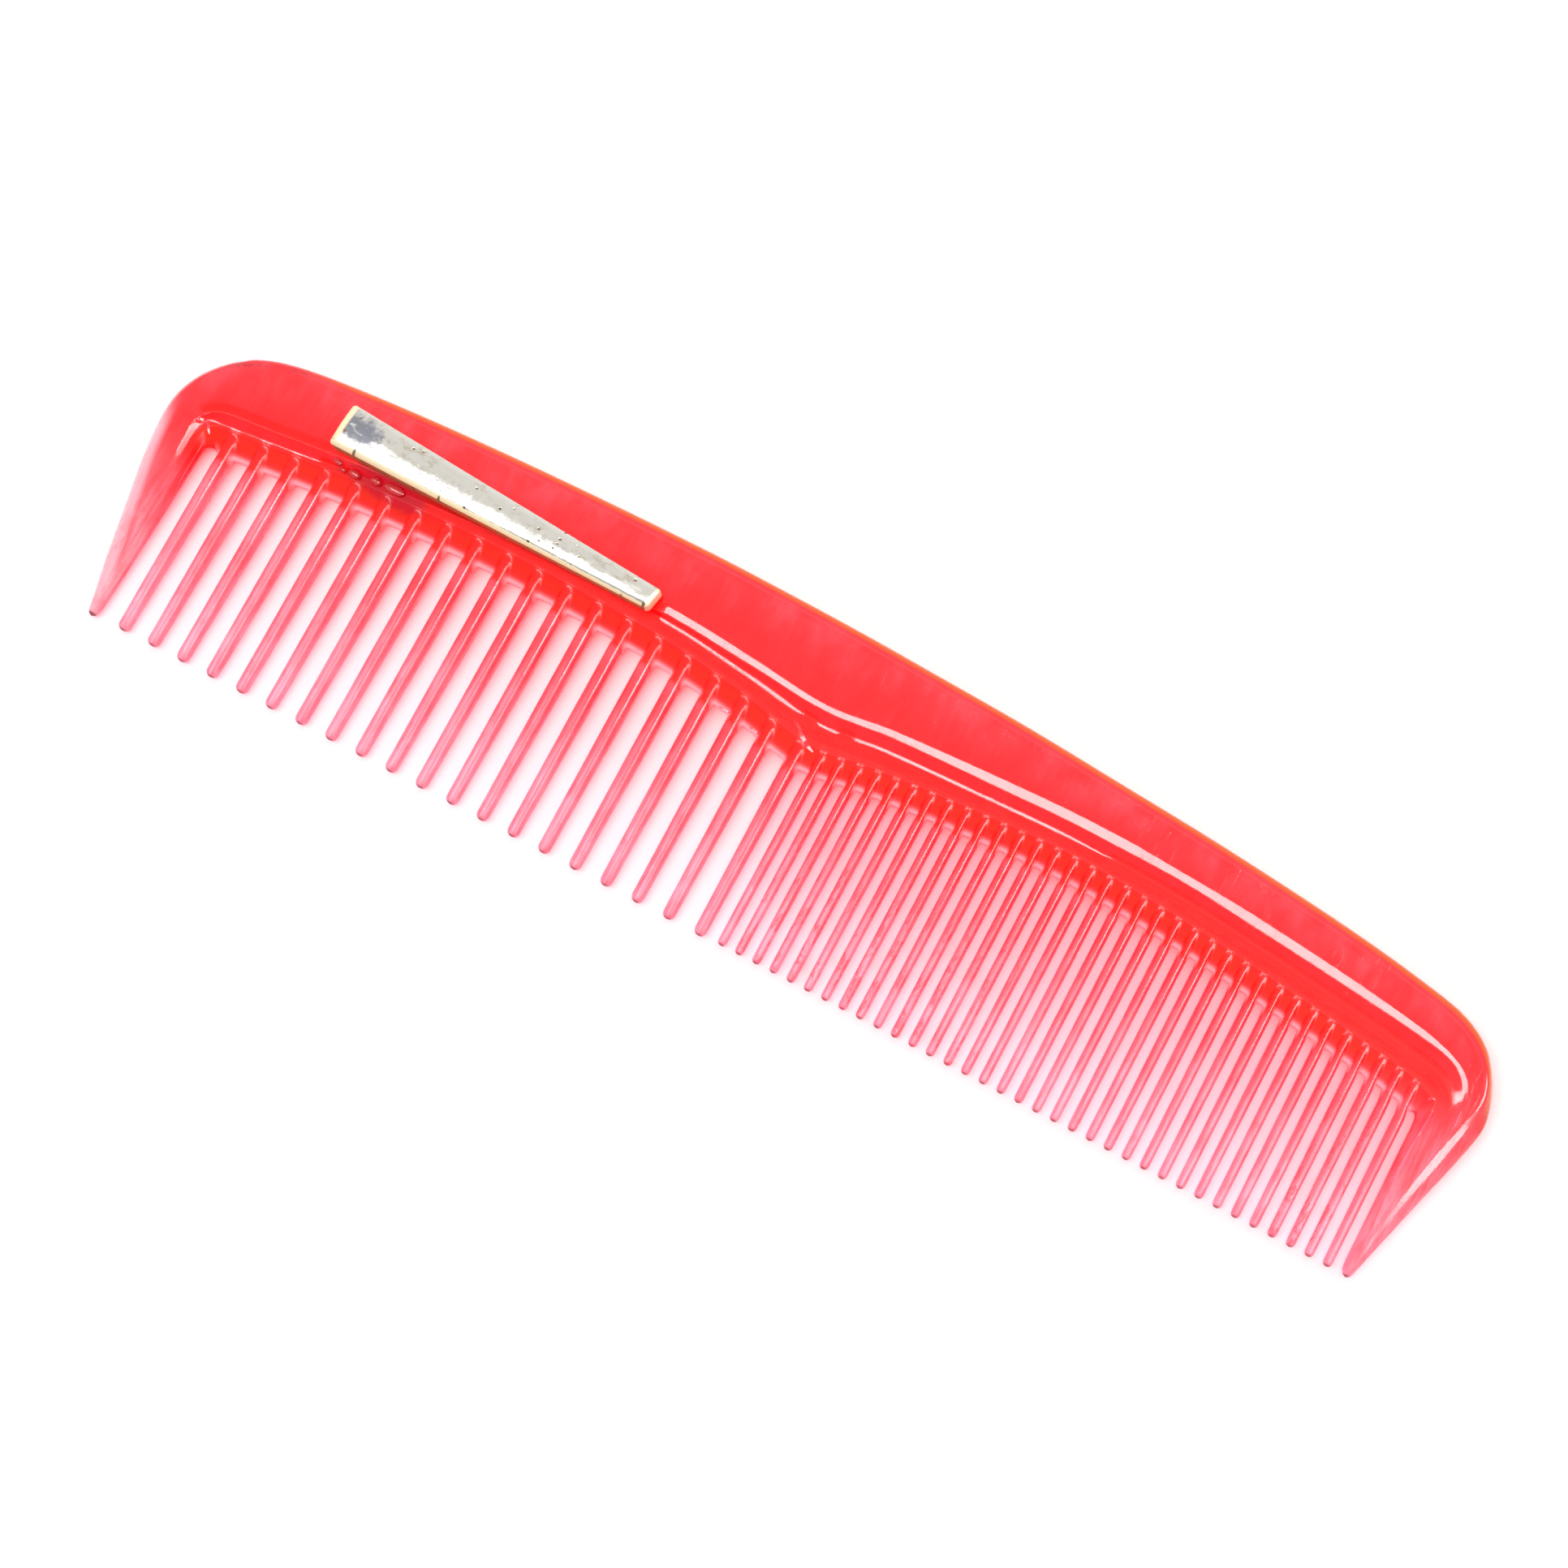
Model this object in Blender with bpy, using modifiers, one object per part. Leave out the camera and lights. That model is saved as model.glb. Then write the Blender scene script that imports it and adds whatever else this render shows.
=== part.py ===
"""Pocket comb with a metal pocket clip, lying on its back.

Metres, +Z up, +X along the comb from its coarse to its fine end, +Y from the
tooth tips to the spine. The origin is the middle of the comb's footprint.

The comb is drawn in its own mid-plane, in millimetres: x from the left end,
y from the tooth tips, and w out of the front face. Both faces are alike, so
the front half is made and mirrored. The back of the spine and the tooth tips
share one plane, which the finished comb rests on.
"""

import math

import bmesh
import bpy
import numpy as np
from mathutils import Matrix

MM = 0.001

# Thickness of the comb, which is a wedge from its tips to its spine
TIP_THICKNESS = 1.3
SPINE_THICKNESS = 3.6
SPINE_Y = 29.2
WEDGE_SLOPE = (SPINE_THICKNESS - TIP_THICKNESS) / 2 / SPINE_Y

# Teeth
COARSE_TEETH = 20
COARSE_FIRST_X = 6.93
COARSE_PITCH = 2.991
COARSE_ROOT_WIDTH = 1.36
COARSE_TIP_WIDTH = 1.08
FINE_TEETH = 35
FINE_FIRST_X = 65.82
FINE_PITCH = 1.6112
FINE_ROOT_WIDTH = 0.93
FINE_TIP_WIDTH = 0.76
COARSE_TIP_Y = -0.08
FINE_TIP_Y = 0.05
COARSE_ROOT_OVERLAP = 1.75
FINE_ROOT_OVERLAP = 1.9
TOOTH_TIP_THICKNESS = 1.2
TOOTH_PROUD = 0.06
PANEL_DROP = 0.4
TOOTH_SIDES = 8
TOOTH_RINGS = 5

# The inner edge above this height is where the gaps end, below it lie the guards
GAP_END_MIN_Y = 14.2

# Pocket clip, a tapered channel over the spine
CLIP_START_X = 15.85
CLIP_END_X = 47.4
CLIP_START_Y = 24.15
CLIP_END_Y = 22.8
CLIP_START_WIDTH = 4.0
CLIP_END_WIDTH = 2.0
CLIP_START_SLANT = 0.15
CLIP_END_SLANT = 0.2
CLIP_START_HEIGHT = 1.9
CLIP_END_HEIGHT = 1.5
CLIP_START_GAP = 0.3
CLIP_END_GAP = 0.6
CLIP_WALL = 0.45
CLIP_CROWN = 0.16
CLIP_BEVEL = 0.4
CLIP_BEVEL_STEEPNESS = 0.7
HOLLOW_OVERSHOOT = 0.5

# Hidden post under the clip's wide end
POST_RADIUS = 1.0
POST_X = 19.5
POST_HEIGHT = 0.95
POST_GAP = 0.3
POST_SIDES = 16

STATIONS_PER_ROW = 3

# The rounded rim's upper point, as shares of the rim's width and of its height
RIM_POINT_IN = 0.25
RIM_POINT_UP = 0.66

# The comb without its teeth is a band bent round the gaps. Each row is one
# section of it, from the outer outline to the edge that the gaps end on.
# rim is measured from the outer outline, and shoulder, toe and bevel from the
# inner edge. drop is how far the panel lies below the wedge, edge is half the
# inner edge's thickness, and full scales the section down to the guard tips.
SECTION_COLUMNS = ("outer_x", "outer_y", "inner_x", "inner_y",
                   "rim", "shoulder", "toe", "bevel", "drop", "edge", "full")
SECTIONS = (
    # left guard tooth, from its tip
    (3.70, -0.20, 3.90, -0.20, 0.06, 0.10, 0.08, 0.06, 0.00, 0.08, 0.30),
    (3.42, 0.05, 4.18, 0.05, 0.30, 0.36, 0.32, 0.28, 0.01, 0.15, 0.75),
    (3.20, 0.90, 4.35, 0.90, 0.45, 0.54, 0.47, 0.40, 0.02, 0.20, 1.00),
    (2.20, 5.00, 4.55, 5.00, 1.05, 1.10, 0.95, 0.80, 0.08, 0.25, 1.00),
    (1.28, 9.60, 4.65, 9.60, 1.35, 1.45, 1.00, 0.50, 0.18, 0.25, 1.00),
    (0.36, 14.20, 4.72, 13.80, 1.45, 1.60, 1.00, 0.45, 0.28, 0.25, 1.00),
    # left end
    (-0.08, 18.20, 4.78, 16.80, 1.15, 1.75, 1.15, 0.50, 0.36, 0.25, 1.00),
    (0.30, 21.20, 4.90, 17.35, 1.05, 2.20, 1.55, 0.90, 0.40, 0.25, 1.00),
    (1.95, 24.02, 5.20, 17.60, 0.85, 3.00, 2.00, 1.50, 0.40, 0.25, 1.00),
    (4.85, 26.24, 6.00, 17.75, 0.75, 3.40, 2.05, 1.75, 0.40, 0.25, 1.00),
    (9.77, 27.60, 9.90, 18.15, 0.65, 3.40, 2.05, 1.75, 0.40, 0.25, 1.00),
    # spine over the coarse teeth
    (19.75, 28.44, 19.75, 19.00, 0.60, 3.45, 2.20, 1.75, 0.40, 0.25, 1.00),
    (33.00, 28.97, 33.00, 19.45, 0.60, 3.55, 2.60, 1.75, 0.40, 0.25, 1.00),
    (47.75, 29.18, 47.75, 19.00, 0.60, 3.80, 3.10, 1.75, 0.40, 0.25, 1.00),
    (57.00, 29.05, 57.00, 17.90, 0.60, 4.25, 3.25, 1.75, 0.40, 0.25, 1.00),
    (64.30, 28.82, 64.30, 16.50, 0.60, 5.05, 3.65, 1.75, 0.40, 0.25, 1.00),
    # spine over the fine teeth
    (70.50, 28.52, 70.50, 17.20, 0.60, 4.95, 3.50, 1.75, 0.40, 0.25, 1.00),
    (79.75, 28.02, 79.75, 17.95, 0.60, 4.60, 3.10, 1.75, 0.40, 0.25, 1.00),
    (88.50, 27.32, 88.50, 18.30, 0.60, 4.45, 2.95, 1.75, 0.40, 0.25, 1.00),
    (98.50, 26.47, 98.50, 17.65, 0.60, 4.70, 3.10, 1.75, 0.40, 0.25, 1.00),
    (109.75, 25.20, 109.60, 16.35, 0.60, 4.90, 3.20, 1.75, 0.40, 0.25, 1.00),
    (117.50, 23.98, 117.00, 15.35, 0.60, 4.95, 3.20, 1.75, 0.40, 0.25, 1.00),
    # right end
    (121.90, 22.90, 120.30, 14.80, 0.60, 4.85, 3.20, 1.75, 0.40, 0.25, 1.00),
    (124.70, 21.05, 121.30, 14.40, 0.70, 4.60, 3.10, 1.70, 0.38, 0.25, 1.00),
    (126.30, 18.40, 121.65, 14.00, 0.90, 3.90, 2.60, 1.60, 0.36, 0.25, 1.00),
    (126.85, 15.60, 121.75, 13.20, 1.25, 2.90, 2.00, 0.90, 0.32, 0.25, 1.00),
    # right guard tooth, to its tip
    (126.20, 12.50, 121.75, 11.00, 1.60, 2.10, 1.50, 0.65, 0.24, 0.25, 1.00),
    (125.00, 8.40, 121.75, 7.60, 1.50, 1.55, 1.20, 0.50, 0.15, 0.25, 1.00),
    (123.70, 3.90, 121.75, 3.80, 0.90, 0.97, 0.82, 0.65, 0.06, 0.25, 1.00),
    (122.88, 0.95, 121.75, 0.95, 0.44, 0.54, 0.46, 0.38, 0.02, 0.20, 1.00),
    (122.65, 0.25, 121.95, 0.25, 0.28, 0.36, 0.32, 0.28, 0.01, 0.15, 0.75),
    (122.40, 0.02, 122.20, 0.02, 0.06, 0.10, 0.08, 0.06, 0.00, 0.08, 0.30),
)


def clear_scene():
    for obj in list(bpy.data.objects):
        bpy.data.objects.remove(obj, do_unlink=True)


def make_collection(name):
    collection = bpy.data.collections.new(name)
    bpy.context.scene.collection.children.link(collection)
    return collection


def make_material(name, color, roughness, metallic):
    material = bpy.data.materials.new(name)
    material.use_nodes = True
    shader = material.node_tree.nodes["Principled BSDF"]
    shader.inputs["Base Color"].default_value = (*color, 1.0)
    shader.inputs["Roughness"].default_value = roughness
    shader.inputs["Metallic"].default_value = metallic
    return material


def add_object(name, bm, collection, material=None):
    bmesh.ops.recalc_face_normals(bm, faces=bm.faces)
    mesh = bpy.data.meshes.new(name)
    bm.to_mesh(mesh)
    bm.free()
    obj = bpy.data.objects.new(name, mesh)
    collection.objects.link(obj)
    if material:
        mesh.materials.append(material)
    return obj


def make_cutter(obj):
    obj.hide_render = True
    obj.display_type = "WIRE"
    return obj


def add_boolean(obj, other, operation):
    modifier = obj.modifiers.new(operation.title(), "BOOLEAN")
    modifier.operation = operation
    modifier.object = other
    modifier.solver = "EXACT"


def half_wedge(y):
    """Half the wedge's thickness at a distance y from the tooth tips."""
    return TIP_THICKNESS / 2 + WEDGE_SLOPE * y


def smooth_rows(rows, steps):
    """A Catmull-Rom curve through the rows of a table, every column at once."""
    table = np.array(rows, float)
    padded = np.vstack([2 * table[0] - table[1], table, 2 * table[-1] - table[-2]])
    out = []
    for before, start, end, after in zip(padded, padded[1:], padded[2:], padded[3:]):
        for t in np.arange(steps) / steps:
            out.append(0.5 * (2 * start + (end - before) * t
                              + (2 * before - 5 * start + 4 * end - after) * t ** 2
                              + (3 * start - before - 3 * end + after) * t ** 3))
    out.append(table[-1])
    return np.array(out)


def section_points(row):
    """The front half of one section, from the outer outline to the inner edge."""
    value = dict(zip(SECTION_COLUMNS, row))
    outer = np.array([value["outer_x"], value["outer_y"]])
    inner = np.array([value["inner_x"], value["inner_y"]])
    width = np.linalg.norm(outer - inner)
    across = (outer - inner) / width

    def point(distance, sink):
        place = inner + across * distance
        height = (half_wedge(place[1]) - sink) * min(value["full"], 1.0)
        return (place[0], place[1], height)

    rim = width - value["rim"]
    upper_rim = point(width - RIM_POINT_IN * value["rim"], 0)
    return [
        (outer[0], outer[1], 0.0),
        (upper_rim[0], upper_rim[1], RIM_POINT_UP * upper_rim[2]),
        point(rim, 0),
        point(value["shoulder"], 0),
        point(value["toe"], value["drop"]),
        point(value["bevel"], value["drop"]),
        (inner[0], inner[1], value["edge"]),
        (inner[0], inner[1], 0.0),
    ]


def loft(bm, sections, closed):
    """Faces between neighbouring sections of equal length, and a cap on each end."""
    rings = [[bm.verts.new((x * MM, y * MM, w * MM)) for x, y, w in section]
             for section in sections]
    count = len(rings[0])
    for ring, following in zip(rings, rings[1:]):
        for i in range(count if closed else count - 1):
            j = (i + 1) % count
            bm.faces.new((ring[i], ring[j], following[j], following[i]))
    bm.faces.new(rings[0])
    bm.faces.new(rings[-1][::-1])


def inner_edge_y(x, stations):
    """Where the gaps end above the teeth, read off the band's inner edge."""
    columns = [SECTION_COLUMNS.index(name) for name in ("inner_x", "inner_y")]
    edge = stations[:, columns]
    edge = edge[edge[:, 1] > GAP_END_MIN_Y]
    return float(np.interp(x, edge[:, 0], edge[:, 1]))


def add_tooth(bm, x, root_y, tip_y, root_width, tip_width):
    """A round-ended tooth: a sphere drawn out from its root to its tip.

    The sphere is turned so that flat facets, not corners, make the tooth's sides
    and top, and it is swollen so that they lie at the full width and thickness.
    """
    half_facet = math.pi / TOOTH_SIDES
    turn = Matrix.Rotation(math.radians(-90), 4, "X") @ Matrix.Rotation(half_facet, 4, "Z")
    made = bmesh.ops.create_uvsphere(bm, u_segments=TOOTH_SIDES, v_segments=TOOTH_RINGS,
                                     radius=1 / math.cos(half_facet), matrix=turn)
    root_thickness = 2 * (half_wedge(root_y) - PANEL_DROP + TOOTH_PROUD)
    root_centre = root_y - root_width / 2
    tip_centre = tip_y + tip_width / 2
    for vert in made["verts"]:
        across, along, out = vert.co
        if along > 0:
            width, thickness, centre = root_width, root_thickness, root_centre
        else:
            width, thickness, centre = tip_width, TOOTH_TIP_THICKNESS, tip_centre
        vert.co = ((x + across * width / 2) * MM,
                   (centre + along * width / 2) * MM,
                   out * thickness / 2 * MM)


def make_teeth(stations, collection):
    """Both sets of teeth, as one mesh that the comb's body is joined with."""
    bm = bmesh.new()
    for i in range(COARSE_TEETH):
        x = COARSE_FIRST_X + i * COARSE_PITCH
        root_y = inner_edge_y(x, stations) + COARSE_ROOT_OVERLAP
        add_tooth(bm, x, root_y, COARSE_TIP_Y, COARSE_ROOT_WIDTH, COARSE_TIP_WIDTH)
    for i in range(FINE_TEETH):
        x = FINE_FIRST_X + i * FINE_PITCH
        root_y = inner_edge_y(x, stations) + FINE_ROOT_OVERLAP
        add_tooth(bm, x, root_y, FINE_TIP_Y, FINE_ROOT_WIDTH, FINE_TIP_WIDTH)
    return make_cutter(add_object("teeth", bm, collection))


def make_comb_body(parts, cutters):
    """The moulding: the band mirrored about its mid-plane, joined with the teeth."""
    stations = smooth_rows(SECTIONS, STATIONS_PER_ROW)
    bm = bmesh.new()
    loft(bm, [section_points(row) for row in stations], closed=False)
    plastic = make_material("red_plastic", (0.85, 0.02, 0.04), 0.08, 0.0)
    body = add_object("comb_body", bm, parts, plastic)
    mirror = body.modifiers.new("Mirror", "MIRROR")
    mirror.use_axis = (False, False, True)
    mirror.merge_threshold = 0.00001
    teeth = make_teeth(stations, cutters)
    add_boolean(body, teeth, "UNION")
    return body, teeth


def clip_section(fraction, inset, rise):
    """One outline of the clip across its length, inset from its outer skin."""
    def taper(start, end):
        return start + (end - start) * fraction

    x = taper(CLIP_START_X, CLIP_END_X)
    slant = taper(CLIP_START_SLANT, CLIP_END_SLANT)
    middle = taper(CLIP_START_Y, CLIP_END_Y)
    half = taper(CLIP_START_WIDTH, CLIP_END_WIDTH) / 2 - inset
    top = taper(CLIP_START_HEIGHT, CLIP_END_HEIGHT) - inset
    bevel = min(CLIP_BEVEL, half / 2)
    shoulder = top - CLIP_CROWN - bevel * CLIP_BEVEL_STEEPNESS
    profile = (
        (-half, rise),
        (-half, shoulder),
        (-half + bevel, top - CLIP_CROWN),
        (0.0, top),
        (half - bevel, top - CLIP_CROWN),
        (half, shoulder),
        (half, rise),
    )
    base = taper(CLIP_START_GAP, CLIP_END_GAP)
    return [(x + slant * across / half, middle + across,
             half_wedge(middle + across) + base + up)
            for across, up in profile]


def make_pocket_clip(parts, cutters):
    """The sheet-metal clip: a tapered, crowned bar hollowed out from below."""
    bm = bmesh.new()
    loft(bm, [clip_section(fraction, 0.0, 0.0) for fraction in (0.0, 1.0)], closed=True)
    metal = make_material("worn_metal", (0.75, 0.70, 0.58), 0.28, 1.0)
    clip = add_object("pocket_clip", bm, parts, metal)

    wall_share = CLIP_WALL / (CLIP_END_X - CLIP_START_X)
    bm = bmesh.new()
    loft(bm, [clip_section(fraction, CLIP_WALL, -HOLLOW_OVERSHOOT)
              for fraction in (wall_share, 1 - wall_share)], closed=True)
    hollow = make_cutter(add_object("clip_hollow", bm, cutters))
    add_boolean(clip, hollow, "DIFFERENCE")
    return clip, hollow


def make_clip_post(parts):
    """The plain post under the clip's wide end."""
    fraction = (POST_X - CLIP_START_X) / (CLIP_END_X - CLIP_START_X)
    y = CLIP_START_Y + (CLIP_END_Y - CLIP_START_Y) * fraction
    foot = half_wedge(y + POST_RADIUS) + POST_GAP
    middle = Matrix.Translation((POST_X * MM, y * MM, (foot + POST_HEIGHT / 2) * MM))
    bm = bmesh.new()
    bmesh.ops.create_cone(bm, cap_ends=True, segments=POST_SIDES,
                          radius1=POST_RADIUS * MM, radius2=POST_RADIUS * MM,
                          depth=POST_HEIGHT * MM, matrix=middle)
    metal = make_material("post_metal", (0.6, 0.5, 0.3), 0.4, 1.0)
    return add_object("clip_post", bm, parts, metal)


def lay_on_back(objects, body):
    """Tilt the comb so that the back of its wedge is level, and centre its footprint."""
    tilt = math.atan(WEDGE_SLOPE)
    frame = bpy.data.objects.new("comb_frame", None)
    bpy.context.scene.collection.objects.link(frame)
    frame.rotation_euler.x = tilt
    frame.location.z = TIP_THICKNESS / 2 * MM * math.cos(tilt)
    for obj in objects:
        obj.parent = frame
    bpy.context.view_layer.update()
    graph = bpy.context.evaluated_depsgraph_get()
    corners = [body.evaluated_get(graph).matrix_world @ vert.co
               for vert in body.evaluated_get(graph).data.vertices]
    for axis in (0, 1):
        values = [corner[axis] for corner in corners]
        frame.location[axis] = -(min(values) + max(values)) / 2


def main():
    clear_scene()
    parts = make_collection("pocket_comb")
    cutters = make_collection("cutters")
    body, teeth = make_comb_body(parts, cutters)
    clip, hollow = make_pocket_clip(parts, cutters)
    post = make_clip_post(parts)
    lay_on_back((body, teeth, clip, hollow, post), body)


main()
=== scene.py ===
"""The looks of the pocket comb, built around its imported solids.

The row frame is in metres. The comb is drawn in its own mid-plane, in
millimetres, as in the model's source: x from the left end, y from the tooth
tips, and w out of the front face. comb_to_row turns that into the row frame.
"""

import math

import bmesh
import bpy
import numpy as np
from mathutils import Matrix, Vector
from mathutils.bvhtree import BVHTree


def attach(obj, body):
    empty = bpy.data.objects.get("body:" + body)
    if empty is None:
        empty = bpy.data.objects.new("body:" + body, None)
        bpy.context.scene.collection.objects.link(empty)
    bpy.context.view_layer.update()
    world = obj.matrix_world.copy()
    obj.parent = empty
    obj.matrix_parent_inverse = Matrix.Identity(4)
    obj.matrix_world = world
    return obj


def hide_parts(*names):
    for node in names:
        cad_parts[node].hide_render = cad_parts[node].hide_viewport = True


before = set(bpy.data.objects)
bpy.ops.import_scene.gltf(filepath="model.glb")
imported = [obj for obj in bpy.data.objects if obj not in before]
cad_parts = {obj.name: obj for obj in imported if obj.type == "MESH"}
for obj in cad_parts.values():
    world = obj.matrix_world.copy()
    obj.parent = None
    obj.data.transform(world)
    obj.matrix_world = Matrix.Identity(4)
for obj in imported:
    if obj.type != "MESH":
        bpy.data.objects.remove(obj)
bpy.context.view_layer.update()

MM = 0.001
TINY = 1e-6

# The comb's wedge, and where its own frame lies in the row frame
TIP_THICKNESS = 1.3
SPINE_THICKNESS = 3.6
SPINE_Y = 29.2
WEDGE_SLOPE = (SPINE_THICKNESS - TIP_THICKNESS) / 2 / SPINE_Y
TILT = math.atan(WEDGE_SLOPE)
SHIFT = (-63.385, -14.475, TIP_THICKNESS / 2 * math.cos(TILT))

# Teeth
COARSE_TEETH = 20
COARSE_FIRST_X = 6.93
COARSE_PITCH = 2.991
COARSE_ROOT_WIDTH = 1.36
COARSE_TIP_WIDTH = 1.08
COARSE_TIP_Y = -0.1
FINE_TEETH = 35
FINE_FIRST_X = 65.82
FINE_PITCH = 1.6112
FINE_ROOT_WIDTH = 0.93
FINE_TIP_WIDTH = 0.76
FINE_TIP_Y = 0.03
COARSE_OVERLAP = 1.75
FINE_OVERLAP = 1.9
TOOTH_TIP_THICKNESS = 1.2
TOOTH_PROUD = 0.06
TOOTH_SQUARENESS = 2.4
PANEL_DROP = 0.4
GULLET_CORNER = 0.16
FINE_CORNER_SHARE = 0.7
UPRIGHT_FADE = 0.62
GULLET_LIP = 0.4
FULL_BEVEL = 1.75
SPARE_LEAST = 0.06
SPARE_SHARE = 2.5

# Widths of the body's soft corners: the lit bands at shoulder and toe, their
# slopes beside the wedge, and the rounding of the panel's lower edge
SHOULDER_BAND = ((54.0, 0.72), (60.0, 0.52), (64.5, 0.42), (68.0, 0.5), (74.0, 0.6), (80.0, 0.72),
                 (92.0, 0.74), (96.0, 0.58), (99.0, 0.6), (103.0, 0.74), (112.0, 0.68),
                 (119.0, 0.5), (120.2, 0.34), (121.0, 0.28), (121.4, 0.36), (121.65, 0.3),
                 (121.74, 0.14))
BAND_SLOPE = 0.13
BAND_TURN_LEAST = 0.35
BAND_FULL_DROP = 0.3
SHOULDER_LIT = ((48.0, 0.0), (48.3, 1.0))
TOE_BAND = ((4.6, 0.0), (5.4, 0.09), (14.4, 0.11), (15.2, 0.0), (48.0, 0.0), (48.3, 0.36),
            (60.5, 0.34), (62.3, 0.16), (62.9, 0.0), (64.1, 0.0), (64.4, 0.16), (65.9, 0.16),
            (66.3, 0.0), (67.4, 0.0), (67.9, 0.2), (86.0, 0.18), (89.5, 0.08), (91.5, 0.0))
BEVEL_FILLET = 0.12
EDGE_ROUND = 0.24
RIM_POWER = 2.2
GUARD_RIM_POWER = 1.5
BAND_RAMP = 0.16
RIDGE_FILLET = 0.12
RIDGE_END = 0.7
RIDGE_REACH = 2.0
CORNER_REACH = 1.2
TOE_BAND_LEAST = 0.05
GULLET_REACH = 1.05
GULLET_SOFT = 0.35
GULLET_LEAST_Y = 13.5
GULLET_FADE = 2.5
GULLET_CLEAR = 0.3
GULLET_FOOT = 0.7
RIDGE_MARK_END = 0.4
POLISHED_TIP_Y = 0.9
LOW_TOOTH_POLISH = 0.2
ROOT_POLISH_Y = (11.0, 17.0)
LIP_WIDE = 0.95
PANEL_POLISH = 0.45
LINE_DULL_REACH = 0.3
FAR_FROM_EDGE = 9.0
GAP_FROM = 0.5
GAP_FADE = 0.4
BEVEL_DULL = (0.4, 0.2)
COARSE_SHOULDER_Y = 19.8
COARSE_SHOULDER_FADE = 0.5
RIM_DULL = (0.1, 0.45)
RIGHT_GUARD_POLISH = ((5.0, 0.05), (8.0, 0.6), (12.0, 0.9), (14.6, 0.9), (15.3, 0.15), (16.3, 0.15),
                      (16.9, 0.9), (19.0, 0.7), (20.0, 1.0))

# Fineness of the moulding's mesh
TABLE_STEPS = 24
GUARD_SKIP = 4
GUARD_GAP = 0.04
LEFT_END_ROWS = 8
RIGHT_END_ROWS = 9
COARSE_SIDES = 8
FINE_SIDES = 6
COARSE_GAP_PLACES = (0.03, 0.09, 0.25, 0.5, 0.75, 0.91, 0.97)
FINE_GAP_PLACES = (0.06, 0.2, 0.5, 0.8, 0.94)
RIM_ROWS = 7
ROWS_BETWEEN_KNOTS = (5, 2, 4, 2, 2, 2, 2, 2, 3, 3, 4)
EDGE_ROWS = 5
TOOTH_ROWS = 16
TIP_ROWS = 6
SINK_STEPS = 600

# Pocket clip, as in the model's source. Pairs are for its start and its end.
CLIP_X = (15.85, 47.4)
CLIP_Y = (24.15, 22.8)
CLIP_WIDTH = (4.0, 2.0)
CLIP_SLANT = (0.15, 0.2)
CLIP_HEIGHT = (1.9, 1.5)
CLIP_GAP = (0.3, 0.6)
CLIP_LENGTH = CLIP_X[1] - CLIP_X[0]
CLIP_WALL = 0.45
CLIP_CORNER = 0.35
CLIP_CORNER_LEAST = 0.03
CLIP_BEVEL = 0.52
CLIP_BEVEL_DROP = 0.34
CLIP_FACET_SLOPE = 0.105
CLIP_RIDGE = 0.35
CLIP_EDGE_STEPS = 90
CLIP_END_STEPS = 14
CLIP_CORNER_STEPS = 5
CLIP_BEVEL_RINGS = 7
CLIP_WALL_RINGS = 5
CLIP_CROWN_RINGS = 10

# Beads of glue: place, half lengths along x and y, and height
GLUE_DROPS = (
    (16.60, 21.35, 0.45, 0.26, 0.22),
    (17.30, 20.95, 0.28, 0.18, 0.16),
    (18.40, 21.05, 0.55, 0.36, 0.34),
    (20.40, 21.35, 0.52, 0.32, 0.32),
    (22.20, 21.45, 1.00, 0.40, 0.14),
)
GLUE_SUNK = 0.1
GLUE_ROWS = 7
GLUE_SIDES = 24

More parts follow.
